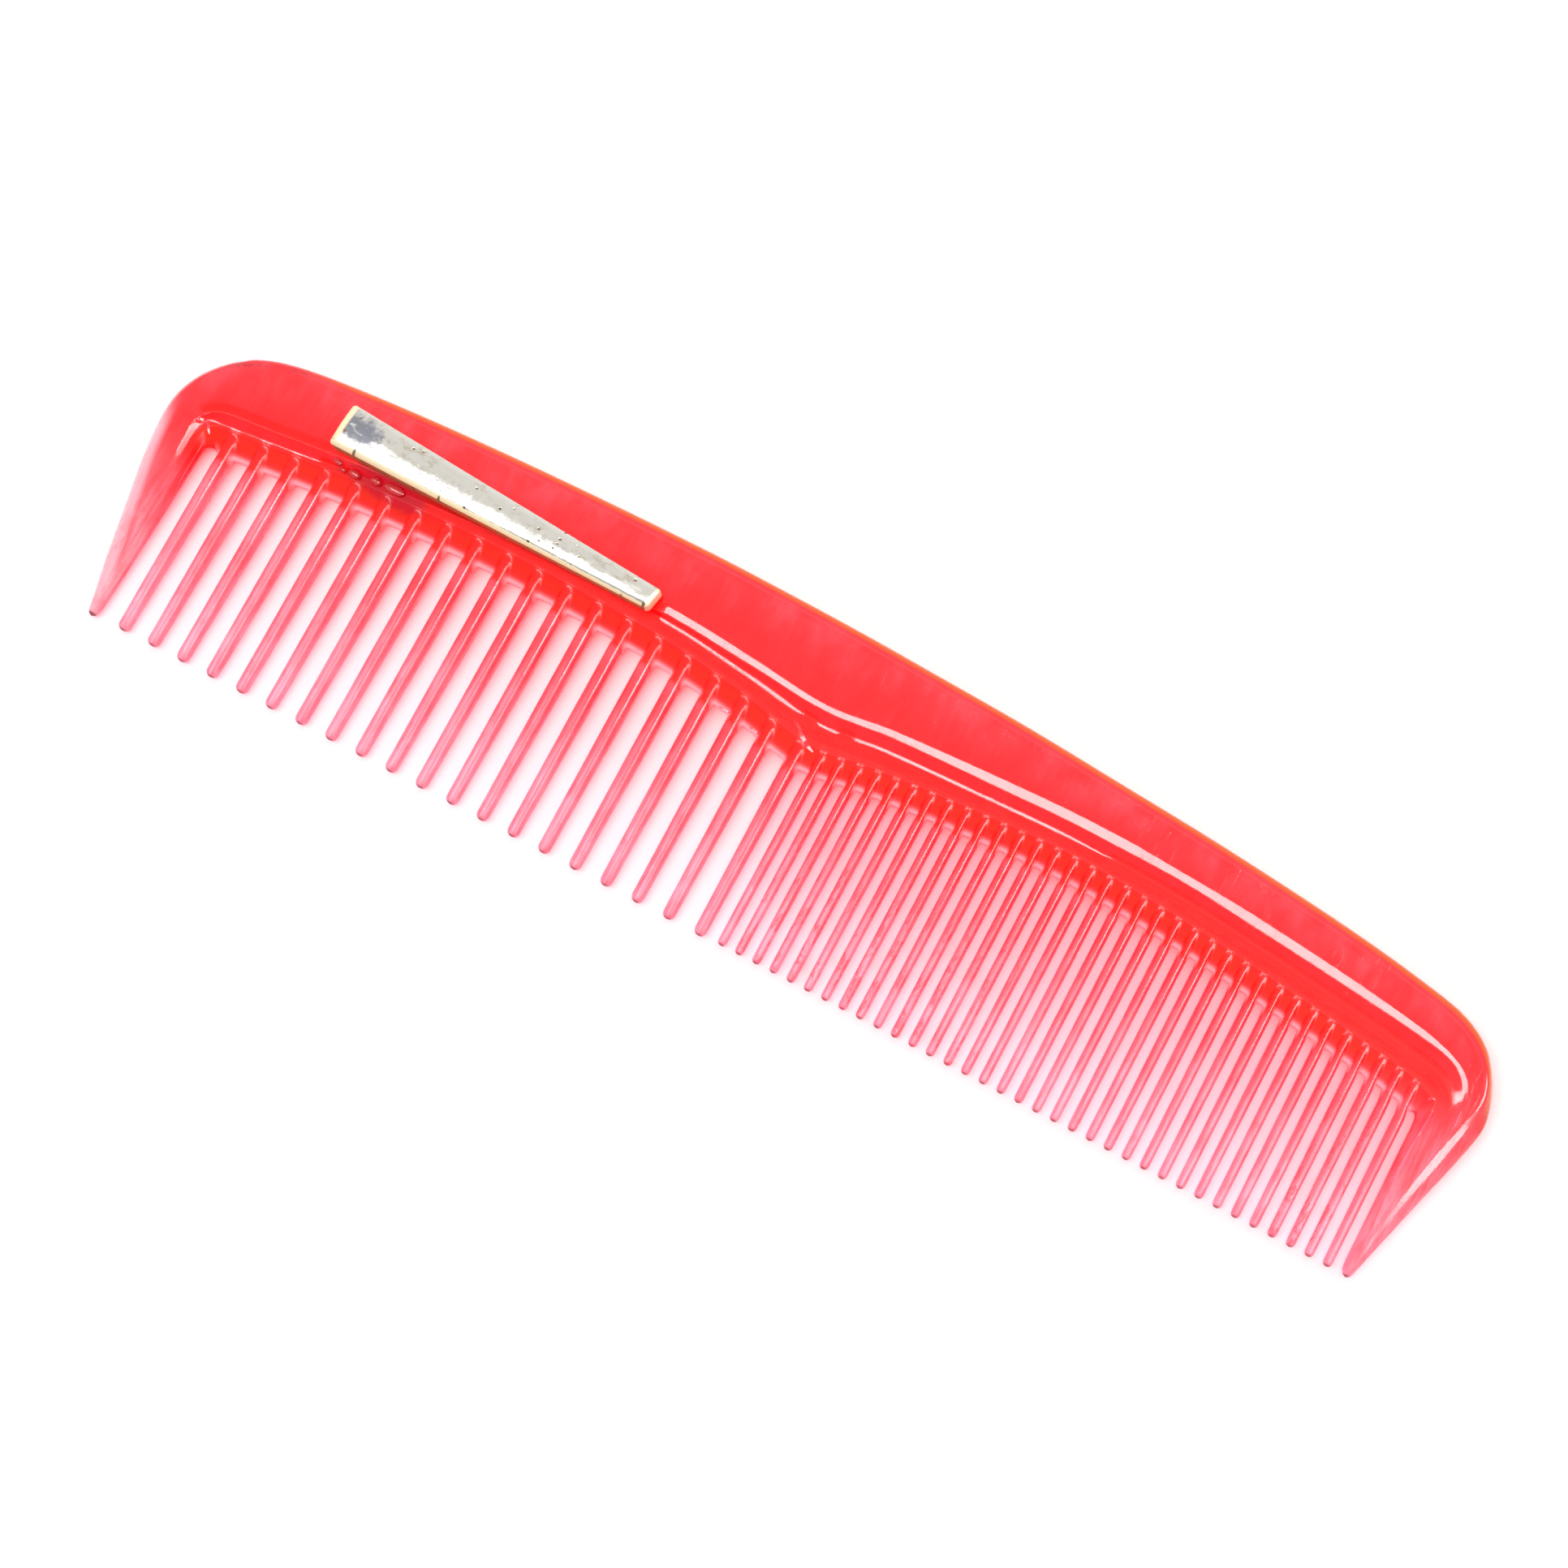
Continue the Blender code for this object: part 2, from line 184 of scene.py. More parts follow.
# One section of the band in each row, as in the model's source: outer x and y, inner x
# and y, rim, shoulder, toe, bevel, drop, edge, full
INNER_X = 2
SECTIONS = (
    # left guard tooth, from its tip
    (3.70, -0.20, 3.90, -0.20, 0.06, 0.10, 0.08, 0.06, 0.00, 0.08, 0.30),
    (3.42, 0.05, 4.18, 0.05, 0.30, 0.36, 0.32, 0.28, 0.01, 0.15, 0.75),
    (3.20, 0.90, 4.35, 0.90, 0.45, 0.54, 0.47, 0.40, 0.02, 0.20, 1.00),
    (2.20, 5.00, 4.55, 5.00, 1.05, 1.10, 0.95, 0.80, 0.08, 0.25, 1.00),
    (1.28, 9.60, 4.65, 9.60, 1.35, 1.45, 1.00, 0.50, 0.18, 0.25, 1.00),
    (0.36, 14.20, 4.72, 13.80, 1.45, 1.60, 1.00, 0.45, 0.22, 0.25, 1.00),
    # left end
    (-0.08, 18.20, 4.78, 16.80, 1.15, 1.75, 1.15, 0.50, 0.36, 0.25, 1.00),
    (0.30, 21.20, 4.90, 17.35, 1.05, 2.35, 1.45, 0.80, 0.40, 0.25, 1.00),
    (1.95, 24.02, 5.20, 17.60, 0.95, 2.95, 2.15, 1.50, 0.40, 0.25, 1.00),
    (4.85, 26.24, 6.00, 17.75, 0.75, 3.40, 2.05, 1.75, 0.40, 0.25, 1.00),
    (9.77, 27.60, 9.90, 18.15, 0.65, 3.40, 2.05, 1.75, 0.40, 0.25, 1.00),
    # spine over the coarse teeth
    (19.75, 28.44, 19.75, 19.00, 0.60, 3.45, 2.20, 1.75, 0.40, 0.25, 1.00),
    (33.00, 28.97, 33.00, 19.45, 0.60, 3.55, 2.60, 1.75, 0.40, 0.25, 1.00),
    (47.75, 29.18, 47.75, 19.00, 0.60, 3.80, 3.10, 1.75, 0.40, 0.25, 1.00),
    (57.00, 29.05, 57.00, 17.90, 0.60, 4.25, 3.25, 1.75, 0.40, 0.25, 1.00),
    (64.30, 28.82, 64.30, 16.50, 0.60, 5.05, 3.65, 1.75, 0.40, 0.25, 1.00),
    # spine over the fine teeth
    (70.50, 28.52, 70.50, 17.20, 0.60, 4.95, 3.50, 1.75, 0.40, 0.25, 1.00),
    (79.75, 28.02, 79.75, 17.95, 0.60, 4.60, 3.10, 1.75, 0.40, 0.25, 1.00),
    (88.50, 27.32, 88.50, 18.30, 0.60, 4.45, 2.95, 1.75, 0.40, 0.25, 1.00),
    (98.50, 26.47, 98.50, 17.65, 0.60, 4.70, 3.10, 1.75, 0.40, 0.25, 1.00),
    (109.75, 25.20, 109.60, 16.35, 0.60, 4.90, 3.20, 1.75, 0.40, 0.25, 1.00),
    (117.50, 23.98, 117.00, 15.35, 0.60, 4.95, 3.20, 1.75, 0.40, 0.25, 1.00),
    # right end
    (121.90, 22.90, 120.30, 14.80, 0.60, 4.85, 3.20, 1.75, 0.40, 0.25, 1.00),
    (124.70, 21.05, 121.30, 14.40, 0.70, 4.60, 3.10, 1.70, 0.38, 0.25, 1.00),
    (126.30, 18.40, 121.65, 14.00, 0.90, 3.90, 2.60, 1.60, 0.36, 0.25, 1.00),
    (126.85, 15.60, 121.75, 13.20, 2.00, 2.90, 2.00, 0.90, 0.32, 0.25, 1.00),
    # right guard tooth, to its tip
    (126.20, 12.50, 121.75, 11.00, 2.10, 2.10, 1.50, 0.65, 0.24, 0.25, 1.00),
    (125.00, 8.40, 121.75, 7.60, 1.65, 1.55, 1.20, 0.50, 0.15, 0.25, 1.00),
    (123.70, 3.90, 121.75, 3.80, 0.90, 0.97, 0.82, 0.65, 0.06, 0.25, 1.00),
    (122.88, 0.95, 121.75, 0.95, 0.44, 0.54, 0.46, 0.38, 0.02, 0.20, 1.00),
    (122.65, 0.25, 121.95, 0.25, 0.28, 0.36, 0.32, 0.28, 0.01, 0.15, 0.75),
    (122.40, 0.02, 122.20, 0.02, 0.06, 0.10, 0.08, 0.06, 0.00, 0.08, 0.30),
)

# Narrow facets on the plastic: half a width, what lights them, the line's points.
# A light is given as the axis of its slope and how much the facet rises along it.
TO_LAMP = (1, 0.16)
TO_CARD = (0, -0.49)
FACETS = (
    (0.11, TO_LAMP, (3.25, 19.45), (3.6, 19.95), (4.2, 20.2), (4.55, 19.8), (4.9, 19.2)),
    (0.05, TO_CARD, (4.68, 18.7), (4.62, 14.0)),
    (0.05, TO_CARD, (3.85, 15.6), (3.75, 12.2)),
    (0.16, TO_LAMP, (62.2, 20.35), (63.0, 19.85), (63.6, 19.3), (64.3, 18.85), (65.1, 18.55)),
    (0.09, TO_LAMP, (59.2, 18.12), (60.3, 17.92)),
    (0.07, TO_LAMP, (56.0, 18.55), (57.3, 18.4)),
    (0.09, TO_LAMP, (121.9, 16.2), (122.15, 16.55), (122.45, 16.5)),
    (0.09, TO_CARD, (122.45, 16.5), (122.6, 16.0), (122.6, 14.9), (122.35, 12.5), (122.2, 9.0)),
    (0.05, TO_CARD, (124.25, 13.6), (123.6, 10.3)),
    (0.06, TO_CARD, (124.55, 16.8), (124.55, 14.9)),
)
FACET_TAPER = 4
FACET_NARROWING = 0.98
FACET_TURN_LEAST = 0.5
FACET_RAY = 20.0
FACET_STEP = 0.12
FACET_LIFT = 0.01
FACET_DEPTH = 0.1

# The camera, in the comb's frame: where it is, what it looks at, how far its up
# direction is turned from +y, and its lens on a 36 mm sensor
CAMERA_PLACE = (94.763, -15.249, 198.840)
CAMERA_AIM = (64.018, 14.461, 0.0)
CAMERA_ROLL = 28.588
CAMERA_LENS = 55.9

# The plastic: how it tints light, by depth and at each surface, and how milky it is
PLASTIC_IOR = 1.3
PLASTIC_TINT = (0.985, 0.0, 0.11, 1.0)
PLASTIC_DENSITY = 1000.0
COAT_WEIGHT = 0.8
SHADOW_TINT = (1.0, 0.42, 0.57, 1.0)
SPINE_COLOUR = (1.0, 0.10, 0.16)
TIP_COLOUR = (1.0, 0.66, 0.84)
HAZE_SPINE = 0.10
HAZE_TIPS = 0.36
HAZE_CREST_HIGHLIGHT = 0.2
HAZE_LAND_SHEEN = 0.12
TEETH_CLEAR_Y = 19.0
TEETH_MILKY_Y = 3.0
TEETH_MILKY_POWER = 0.7
PALE_ROOT = 0.7
STAINED_LEAST = 0.3
TIP_CHANGE = (64.9, 65.1)
# Painted shade at the tooth tips: how far above a tip the dark crescent starts and where it is
# full, and how dark it is
TIP_SHADE_RISE = (0.24, 0.08)
TIP_SHADE = 0.85

# Where the plastic's looks lie: products of soft steps. A step names its measure, where it
# is 0 and where it is 1, and other values for the two. Places are in millimetres.
REGIONS = {
    # Painted light: a pale, milky zone along the left guard's outer edge
    "left_edge_light": (("outer", 2.1, 0.9), ("x", 5.0, 3.6), ("y", 21.5, 16.5)),
    "root": (("x", 42.0, 15.0), ("y", 19.5, 15.0), ("across", 1.0, 0.97)),
    # Painted highlight: a pale line down the middle of each tooth
    "crest_highlight": (("across", 0.3, 0.05),),
    "texture": (("streaks", 0.35, 0.7, 0.75, 1.35), ("clouds", 0.3, 0.7, 0.8, 1.2)),
    # Painted shade: the recessed panel below the shoulder is coloured a deeper red
    "panel": (("polish", 0.8, 0.5), ("y", 14.0, 17.0), ("outer", 3.0, 4.0)),
    # Painted sheen: a paler, mottled pink near the top edge, standing in for the bright studio's
    # reflection
    "land_sheen": (("outer", 5.0, 1.5), ("clouds", 0.35, 0.7, 0.4, 1.0), ("y", 17.0, 22.0)),
    # Painted light: an orange-brown glow along the outermost rim of the top edge
    "rim": (("outer", 0.75, 0.5), ("y", 14.0, 18.0), ("x", 6.0, 16.0)),
    # Painted shade: a dark red line just inside the top edge
    "rim_shade_line": (("outer", 1.2, 0.9), ("y", 14.0, 18.0), ("x", 6.0, 16.0)),
    # Painted light: the teeth's ridges near the root are made paler pink than the gullets between
    # them
    "ridge": (("across", 1.0, 0.97), ("y", 14.0, 17.5)),
    # Painted shade: a dark line along the outer edge of the comb's left end
    "edge_shade": (("outer", 0.2, 0.08), ("x", 2.6, 1.2), ("y", 15.5, 17.5), ("y", 22.0, 20.0)),
    "stained_middle": (("x", 63.0, 69.0), ("x", 94.0, 86.0)),
    "stained_right": (("x", 113.0, 115.5), ("x", 121.0, 119.0)),
    "stain": (("dirt", 0.51, 0.58), ("y", 17.0, 13.0)),
    "hatch": (("hatching", 0.50, 0.62), ("hatch_places", 0.42, 0.52), ("polish", 0.75, 0.95)),
}
# Patches: their middle, reach and how ragged their border is
# Painted shadow of the clip on the plastic below it: a dark red patch that also stands for a film
# of glue
CLIP_SHADOW_AND_GLUE = ((21.3, 21.2), (5.2, 1.2), 1.6)
LEFT_CORNER = ((5.0, 18.2), (1.3, 1.6), 0.2)
PATCH_BORDER = (1.25, 0.55)
# The least haze that a look brings, and the colours laid over each other, the last on top. Several
# of them are painted light and shade, as noted where their masks are made.
# Painted light in both: the pale left edge and the pale lip at each gap's end
HAZES_UNDER_LAND = (("left_edge_light", 0.95), ("lip", 0.85))
# Painted shade in the gullets: they are made a dark, milky deep red
HAZES = (("ridge", 0.3), ("corner", 0.6), ("gullet", 0.6), ("rim_shade_line", 0.85),
         ("edge_shade", 0.85), ("clip_shadow_and_glue", 0.7), ("stain", 0.7))
COLOURS = (
    ("land_sheen", (1.0, 0.22, 0.32)), ("ridge", (1.0, 0.26, 0.36)), ("panel", (1.0, 0.03, 0.02)),
    ("lip", (1.0, 0.62, 0.70)), ("left_edge_light", (1.0, 0.48, 0.56)), ("gullet", (1.0, 0.03, 0.01)),
    # Painted light at the top edge: the shade line just inside it and the orange-brown glow of the
    # rim
    ("rim_shade_line", (1.0, 0.0, 0.0), 0.8), ("rim", (0.85, 0.12, 0.01)),
    ("edge_shade", (0.25, 0.03, 0.07)), ("clip_shadow_and_glue", (0.72, 0.0, 0.02)),
    ("stain", (0.90, 0.03, 0.07), 0.7),
)
ROUGHNESS_STEP = ("scuffs", 0.35, 0.75, 0.05, 0.14)
DULL_ROUGHNESS = 0.3
COAT_ROUGHNESS = 0.07
COAT_IOR = 1.45

# Relief: strength and height in millimetres
WAVE_RELIEF = (0.25, 0.06)
HATCH_RELIEF = (1.0, 0.012)
METAL_RELIEF = (0.45, 0.08)

# Noise: how places are stretched, scale, detail, roughness, and for some a shift along x
# and a turn
NOISES = {
    "streaks": ((5.0, 0.25, 1.0), 1.0, 4, 0.6),
    "clouds": ((0.5, 0.3, 1.0), 1.0, 3, 0.5),
    "dirt": ((1.4, 0.5, 1.0), 0.9, 6, 0.7),
    "scuffs": ((0.5, 2.5, 1.0), 1.4, 5, 0.6, 0.0, 0.5),
    "waves": (None, 0.5, 2, 0.4),
    "hatching": ((3.2, 0.35, 1.0), 1.0, 3, 0.5, 0.0, 0.8),
    "hatch_places": (None, 0.13, 2, 0.5),
    "fine": ((1.2, 3.0, 1.0), 1.6, 5, 0.65),
    "mottle": (None, 1.5, 5, 0.7),
    "speck_places": ((1.0, 1.0, 1.0), 0.35, 2, 0.5, 7.0, 0.0),
    "smudge": ((0.8, 1.6, 1.0), 0.9, 5, 0.75, 3.0, 0.0),
    "metal_waves": ((0.35, 1.3, 1.0), 1.0, 3, 0.5),
    "tarnish": (None, 1.5, 4, 0.6),
    "glue_clouds": (None, 2.0, 3, 0.5),
}

# The clip's colours, where its looks lie (along, and across from -1 to 1) and its pits
PLATING = (0.76, 0.73, 0.66)
# Smudges and painted shade: a darker beige laid over the clip's upper half
SMUDGED_SHADE = (0.52, 0.42, 0.27)
DULLED = (0.22, 0.22, 0.25)
BRASS = (1.0, 0.84, 0.54)
# Painted shade and reflection: dark brown on the clip's side walls, standing in for their shade and
# the red plastic mirrored in them
SHADED_WALL_BROWN = (0.42, 0.24, 0.09)
DIRT = (0.26, 0.17, 0.09)
DULL_PATCH = ((17.7, 24.1), (2.6, 1.3), 1.6)
BORDER_WANDER = 0.14
SMUDGE_AND_SHADE = 0.7
FLECK = 0.8
BRASS_UNMETALLIC = 0.8
BRASS_ROUGH = 0.3
PATCH_ROUGH = 0.4
BRASS_FROM = 0.74
METAL_STEPS = {
    "brassy": ("edge", BRASS_FROM, BRASS_FROM + 0.05),
    "at_start": ("place", 0.75, 0.5),
    "at_end": ("place", CLIP_LENGTH - 0.45, CLIP_LENGTH - 0.25),
    "shaded_walls": ("away", 0.985, 1.0),
    "speck": ("specks", 0.17, 0.09),
    "speck_place": ("speck_places", 0.40, 0.5),
    "nick": ("nicks", 0.22, 0.13),
    "nick_place": ("across", 0.08 - BRASS_FROM, -0.02 - BRASS_FROM),
    "smudge_and_shade": ("smudge", 0.5, 0.68),
    "shaded_upper_half": ("across", -0.25, 0.1),
    "fleck": ("specks", 0.75, 0.95),
    "roughness": ("mottle", 0.3, 0.7, 0.10, 0.22),
}
SPECKS = ((0.9, 1.2, 0.2), 1.0)
NICKS = ((1.0, 0.4, 0.1), 1.25)

# The studio: floor, long lamp (in the comb's frame, millimetres) and exposure
FLOOR_SIZE = 3.0
FLOOR_GAP = 0.00004
LAMP_PLACE = (5.0, -48.0, 500.0)
LAMP_TARGET = (60.0, 20.0, 0.0)
LAMP_SIZE = (460.0, 56.0)
LAMP_POWER = 1.15
CARD_PLACE = (414.0, 15.0, 350.0)
CARD_SIZE = (250.0, 250.0)
CARD_POWER = 2.7
LIGHT_BOUNCES = 20
WORLD_LEVEL = 0.62
WORLD_RISE = 0.2
WORLD_LEAN = 0.38
FLOOR_WHITE = 0.98


def comb_to_row(points):
    """Points of the comb's own frame, in millimetres, in the row frame, in metres."""
    points = np.asarray(points, float)
    x, y, w = points[..., 0], points[..., 1], points[..., 2]
    cos, sin = math.cos(TILT), math.sin(TILT)
    return np.stack([x + SHIFT[0], y * cos - w * sin + SHIFT[1],
                     y * sin + w * cos + SHIFT[2]], -1) * MM


def half_wedge(y):
    """Half the wedge's thickness at a distance y from the tooth tips."""
    return TIP_THICKNESS / 2 + WEDGE_SLOPE * y


def smooth_rows(rows, steps):
    """A Catmull-Rom curve through the rows of a table, every column at once."""
    table = np.array(rows, float)
    padded = np.vstack([2 * table[0] - table[1], table, 2 * table[-1] - table[-2]])
    out = []
    for before, start, end, after in zip(padded, padded[1:], padded[2:], padded[3:]):
        for t in np.arange(steps) / steps:
            out.append(0.5 * (2 * start + (end - before) * t
                              + (2 * before - 5 * start + 4 * end - after) * t ** 2
                              + (3 * start - before - 3 * end + after) * t ** 3))
    out.append(table[-1])
    return np.array(out)


def smooth_step(t):
    t = np.clip(t, 0, 1)
    return t * t * (3 - 2 * t)


def smooth_max(a, b, width):
    """The larger of two heights, with a fillet of about that width between them."""
    near = np.clip(1 - np.abs(a - b) / width, 0, 1)
    return np.maximum(a, b) + near * near * width / 4


def teeth_table():
    """Each tooth's centre, root and tip width, tip height, ridge length and sides."""
    coarse = [(COARSE_FIRST_X + i * COARSE_PITCH, COARSE_ROOT_WIDTH, COARSE_TIP_WIDTH,
               COARSE_TIP_Y, COARSE_OVERLAP, COARSE_SIDES) for i in range(COARSE_TEETH)]
    fine = [(FINE_FIRST_X + i * FINE_PITCH, FINE_ROOT_WIDTH, FINE_TIP_WIDTH,
             FINE_TIP_Y, FINE_OVERLAP, FINE_SIDES) for i in range(FINE_TEETH)]
    return coarse + fine


class Column:
    """One line of the moulding's mesh, across the band at one section.

    A tooth's columns run on down the tooth: tooth is its number, or None, and u is
    the column's place across it, -1 to 1.
    """

    def __init__(self, section, tooth, u, upright, corner):
        self.outer, self.inner = np.array(section[:2]), np.array(section[2:4])
        self.rim, shoulder, toe, bevel, self.drop, self.edge, full = section[4:]
        self.full = min(full, 1.0)
        self.tooth, self.u = tooth, u
        self.inside = tooth is not None and abs(u) < 1
        self.upright, self.corner = upright, corner
        self.width = float(np.linalg.norm(self.outer - self.inner))
        self.rim_power = GUARD_RIM_POWER + (RIM_POWER - GUARD_RIM_POWER) * upright
        self.across = (self.outer - self.inner) / self.width
        self.shoulder_lit = float(np.interp(self.inner[0], *zip(*SHOULDER_LIT)))
        self.shoulder_band = float(np.interp(self.inner[0], *zip(*SHOULDER_BAND)))
        self.toe_band = float(np.interp(self.inner[0], *zip(*TOE_BAND)))
        self.root_y = self.inner[1]
        lip = GULLET_LIP * upright
        self.inner = self.inner - lip * self.across
        self.width += lip
        self.shoulder, self.toe, self.bevel = shoulder + lip, toe + lip, bevel + lip

    def knots(self):
        """Distances from the inner edge, outer ones first, at which the slope changes."""
        size = min(self.bevel / FULL_BEVEL, 1.0)
        half_shoulder = self.shoulder_band * size / 2
        half_toe = max(self.toe_band, TOE_BAND_LEAST) * size / 2
        ramp = BAND_RAMP * size
        spare = self.shoulder - self.toe - half_shoulder - half_toe
        inner_ramp = min(ramp, max(spare, SPARE_LEAST * size) / SPARE_SHARE)
        fillet = BEVEL_FILLET * size / 2
        values = [
            self.shoulder + half_shoulder + ramp, self.shoulder + half_shoulder,
            self.shoulder - half_shoulder, self.shoulder - half_shoulder - inner_ramp,
            self.toe + half_toe + inner_ramp, self.toe + half_toe,
            self.toe - half_toe, self.toe - half_toe - ramp,
            self.bevel + fillet, self.bevel - fillet, EDGE_ROUND * size,
        ]
        limit = self.width - self.rim
        out = []
        for value in values:
            limit = min(limit, value)
            out.append(limit)
        return out

    def sink(self, distances, knots):
        """How far the face lies below the wedge at these distances."""
        band = BAND_SLOPE * min(self.drop / BAND_FULL_DROP, 1.0)
        band /= max(self.across[1], BAND_TURN_LEAST)
        shoulder, toe = band * self.shoulder_lit, band * min(self.toe_band / TOE_BAND_LEAST, 1.0)

        def run(first):
            """The length of a slope with a ramp at both its ends."""
            return (sum(knots[first:first + 2]) - sum(knots[first + 2:first + 4])) / 2

        lit = shoulder * run(0) + toe * run(4)
        steep = max(self.drop - lit, 0) / max(run(2), TINY)
        bevel_drop = half_wedge(self.inner[1]) - self.drop - self.edge
        bevel_slope = max(bevel_drop, 0) * 2 / sum(knots[8:10])
        places = np.array(knots[:10] + [0.0])
        slopes = np.array([0, shoulder, shoulder, steep, steep, toe, toe, 0, 0,
                           bevel_slope, bevel_slope])
        grid = np.linspace(self.width, 0, SINK_STEPS)
        slope = np.interp(grid, places[::-1], slopes[::-1], right=0.0)
        steps = (slope[1:] + slope[:-1]) / 2 * (grid[:-1] - grid[1:])
        total = np.concatenate([[0], np.cumsum(steps)])
        return np.interp(distances, grid[::-1], total[::-1])

    def body_rows(self):
        """The column's points over the body, from its outer to its inner end."""
        knots = self.knots()
        turn = np.linspace(0, math.pi / 2, RIM_ROWS + 1)
        rim = self.width - self.rim * (1 - np.cos(turn) ** (2 / self.rim_power))
        parts = [rim]
        stops = [self.width - self.rim] + knots
        for start, stop, count in zip(stops, stops[1:], ROWS_BETWEEN_KNOTS):
            parts.append(np.linspace(start, stop, count + 1)[1:])
        turn = np.linspace(0, math.pi / 2, EDGE_ROWS + 1)[1:]
        parts.append(knots[-1] * (1 - np.sin(turn)))
        distance = np.concatenate(parts)

        lean = 1 - self.upright * (1 - smooth_step((distance - RIDGE_REACH) / RIDGE_REACH))
        direction = lean[:, None] * self.across + (1 - lean)[:, None] * np.array([0.0, 1.0])
        place = self.inner + direction * distance[:, None]
        place[:, 1] -= self.corner * (1 - smooth_step(distance / CORNER_REACH))

        height = half_wedge(place[:, 1]) - self.sink(distance, knots)
        in_rim = np.clip((distance - self.width + self.rim) / self.rim, 0, 1)
        height *= (1 - in_rim ** self.rim_power) ** (1 / self.rim_power)
        in_edge = np.clip(1 - distance / knots[-1], 0, 1)
        height *= np.sqrt(1 - in_edge ** 2)
        height *= self.full
        height[0] = 0.0
        if self.inside:
            ridge = tooth_height(TEETH[self.tooth], self.root_y, self.u, place[:, 1])
            height = smooth_max(height, ridge, RIDGE_FILLET)
        else:
            height[-1] = 0.0
        return np.column_stack([place, height])

    def marks(self, place, on_body):
        """The shader's measures at a point of this column.

        They are how deep it is in a gullet, how far across a tooth, how far from
        the outer edge, how well polished, and how near to a gap's end.
        """
        across = 1.0 if self.tooth is None else abs(self.u)
        if not on_body:
            low, high = ROOT_POLISH_Y
            near_root = smooth_step((place[1] - low) / (high - low))
            tip = smooth_step((place[1] - POLISHED_TIP_Y) / POLISHED_TIP_Y)
            polish = tip * (LOW_TOOTH_POLISH + (1 - LOW_TOOTH_POLISH) * near_root)
            return 0.0, across, FAR_FROM_EDGE, float(polish), 0.0
        distance = float(np.linalg.norm(np.array(place) - self.inner))
        in_gap = float(smooth_step((across - GAP_FROM) / GAP_FADE))
        if self.tooth is not None:
            ridge_end = self.root_y + TEETH[self.tooth][4]
            past = smooth_step((place[1] - ridge_end) / RIDGE_MARK_END + 0.5)
            across += (1 - across) * past
        in_gullet = smooth_step((self.bevel * GULLET_REACH - distance) / GULLET_SOFT) * in_gap
        in_gullet *= smooth_step((self.root_y - GULLET_LEAST_Y) / GULLET_FADE)
        in_gullet *= smooth_step((distance - GULLET_CLEAR) / GULLET_FOOT)
        # Painted glow: the lip mark makes the plastic pale and milky at each gap's end, standing in
        # for light seen through the thin edge
        lip = in_gap * self.upright * (1 - smooth_step(distance / LIP_WIDE))
        on_panel = smooth_step((self.toe - distance) / GULLET_SOFT)
        polish = 1 - (1 - PANEL_POLISH) * on_panel
        polish *= 1 - smooth_step((self.bevel + BEVEL_DULL[0] - distance) / BEVEL_DULL[1]) * in_gap
        near_toe, near_shoulder = (
            1 - smooth_step((abs(distance - line) - LINE_DULL_REACH) / LINE_DULL_REACH)
            for line in (self.toe, self.shoulder))
        polish *= 1 - near_toe * max(1 - self.toe_band / TOE_BAND_LEAST, 0)
        near_shoulder *= smooth_step((place[1] - COARSE_SHOULDER_Y) / COARSE_SHOULDER_FADE)
        polish *= 1 - near_shoulder * (1 - self.shoulder_lit)
        outer = max(self.width - distance, 0.0)
        if self.inner[0] > TEETH[0][0] and self.upright > 0.5:
            polish *= smooth_step((outer - RIM_DULL[0]) / (RIM_DULL[1] - RIM_DULL[0]))
        if self.inner[0] > TEETH[-1][0] and outer < self.rim:
            polish *= np.interp(place[1], *zip(*RIGHT_GUARD_POLISH))
        return float(in_gullet), across, outer, float(polish), float(lip)


def tooth_height(tooth, root_y, u, y):
    """Half a tooth's thickness at u across it and at the heights y, also on its ridge."""
    _, root_width, tip_width, tip_y, overlap, _ = tooth
    top = root_y + overlap
    thick = np.interp(y, (tip_y, top), (TOOTH_TIP_THICKNESS,
                                       2 * (half_wedge(top) - PANEL_DROP + TOOTH_PROUD)))
    end = RIDGE_END * root_width
    past_end = np.clip((y - top + end) / end, 0, None)
    tip = tip_width / 2
    past_tip = np.clip((tip_y + tip - y) / tip, 0, 1)
    room = np.clip(1 - abs(u) ** TOOTH_SQUARENESS - past_end ** 2, 0, None)
    return thick / 2 * room ** (1 / TOOTH_SQUARENESS) * np.sqrt(1 - past_tip ** 2)


TEETH = teeth_table()
MARKS = ("gullet", "across", "outer", "polish", "lip")
FACET_MARKS = (0.0, 1.0, 5.0, 1.0, 0.0)


def corner_drop(x):
    """How much lower the gap's end lies at x, where its corner meets a tooth."""
    drop = 0.0
    for centre, root_width, _, _, _, _ in TEETH:
        near = abs(x - centre) - root_width / 2
        radius = GULLET_CORNER * (1 if root_width == COARSE_ROOT_WIDTH else FINE_CORNER_SHARE)
        if near <= 0:
            return radius
        if near < radius:
            drop = max(drop, radius - math.sqrt(radius ** 2 - (radius - near) ** 2))
    return drop


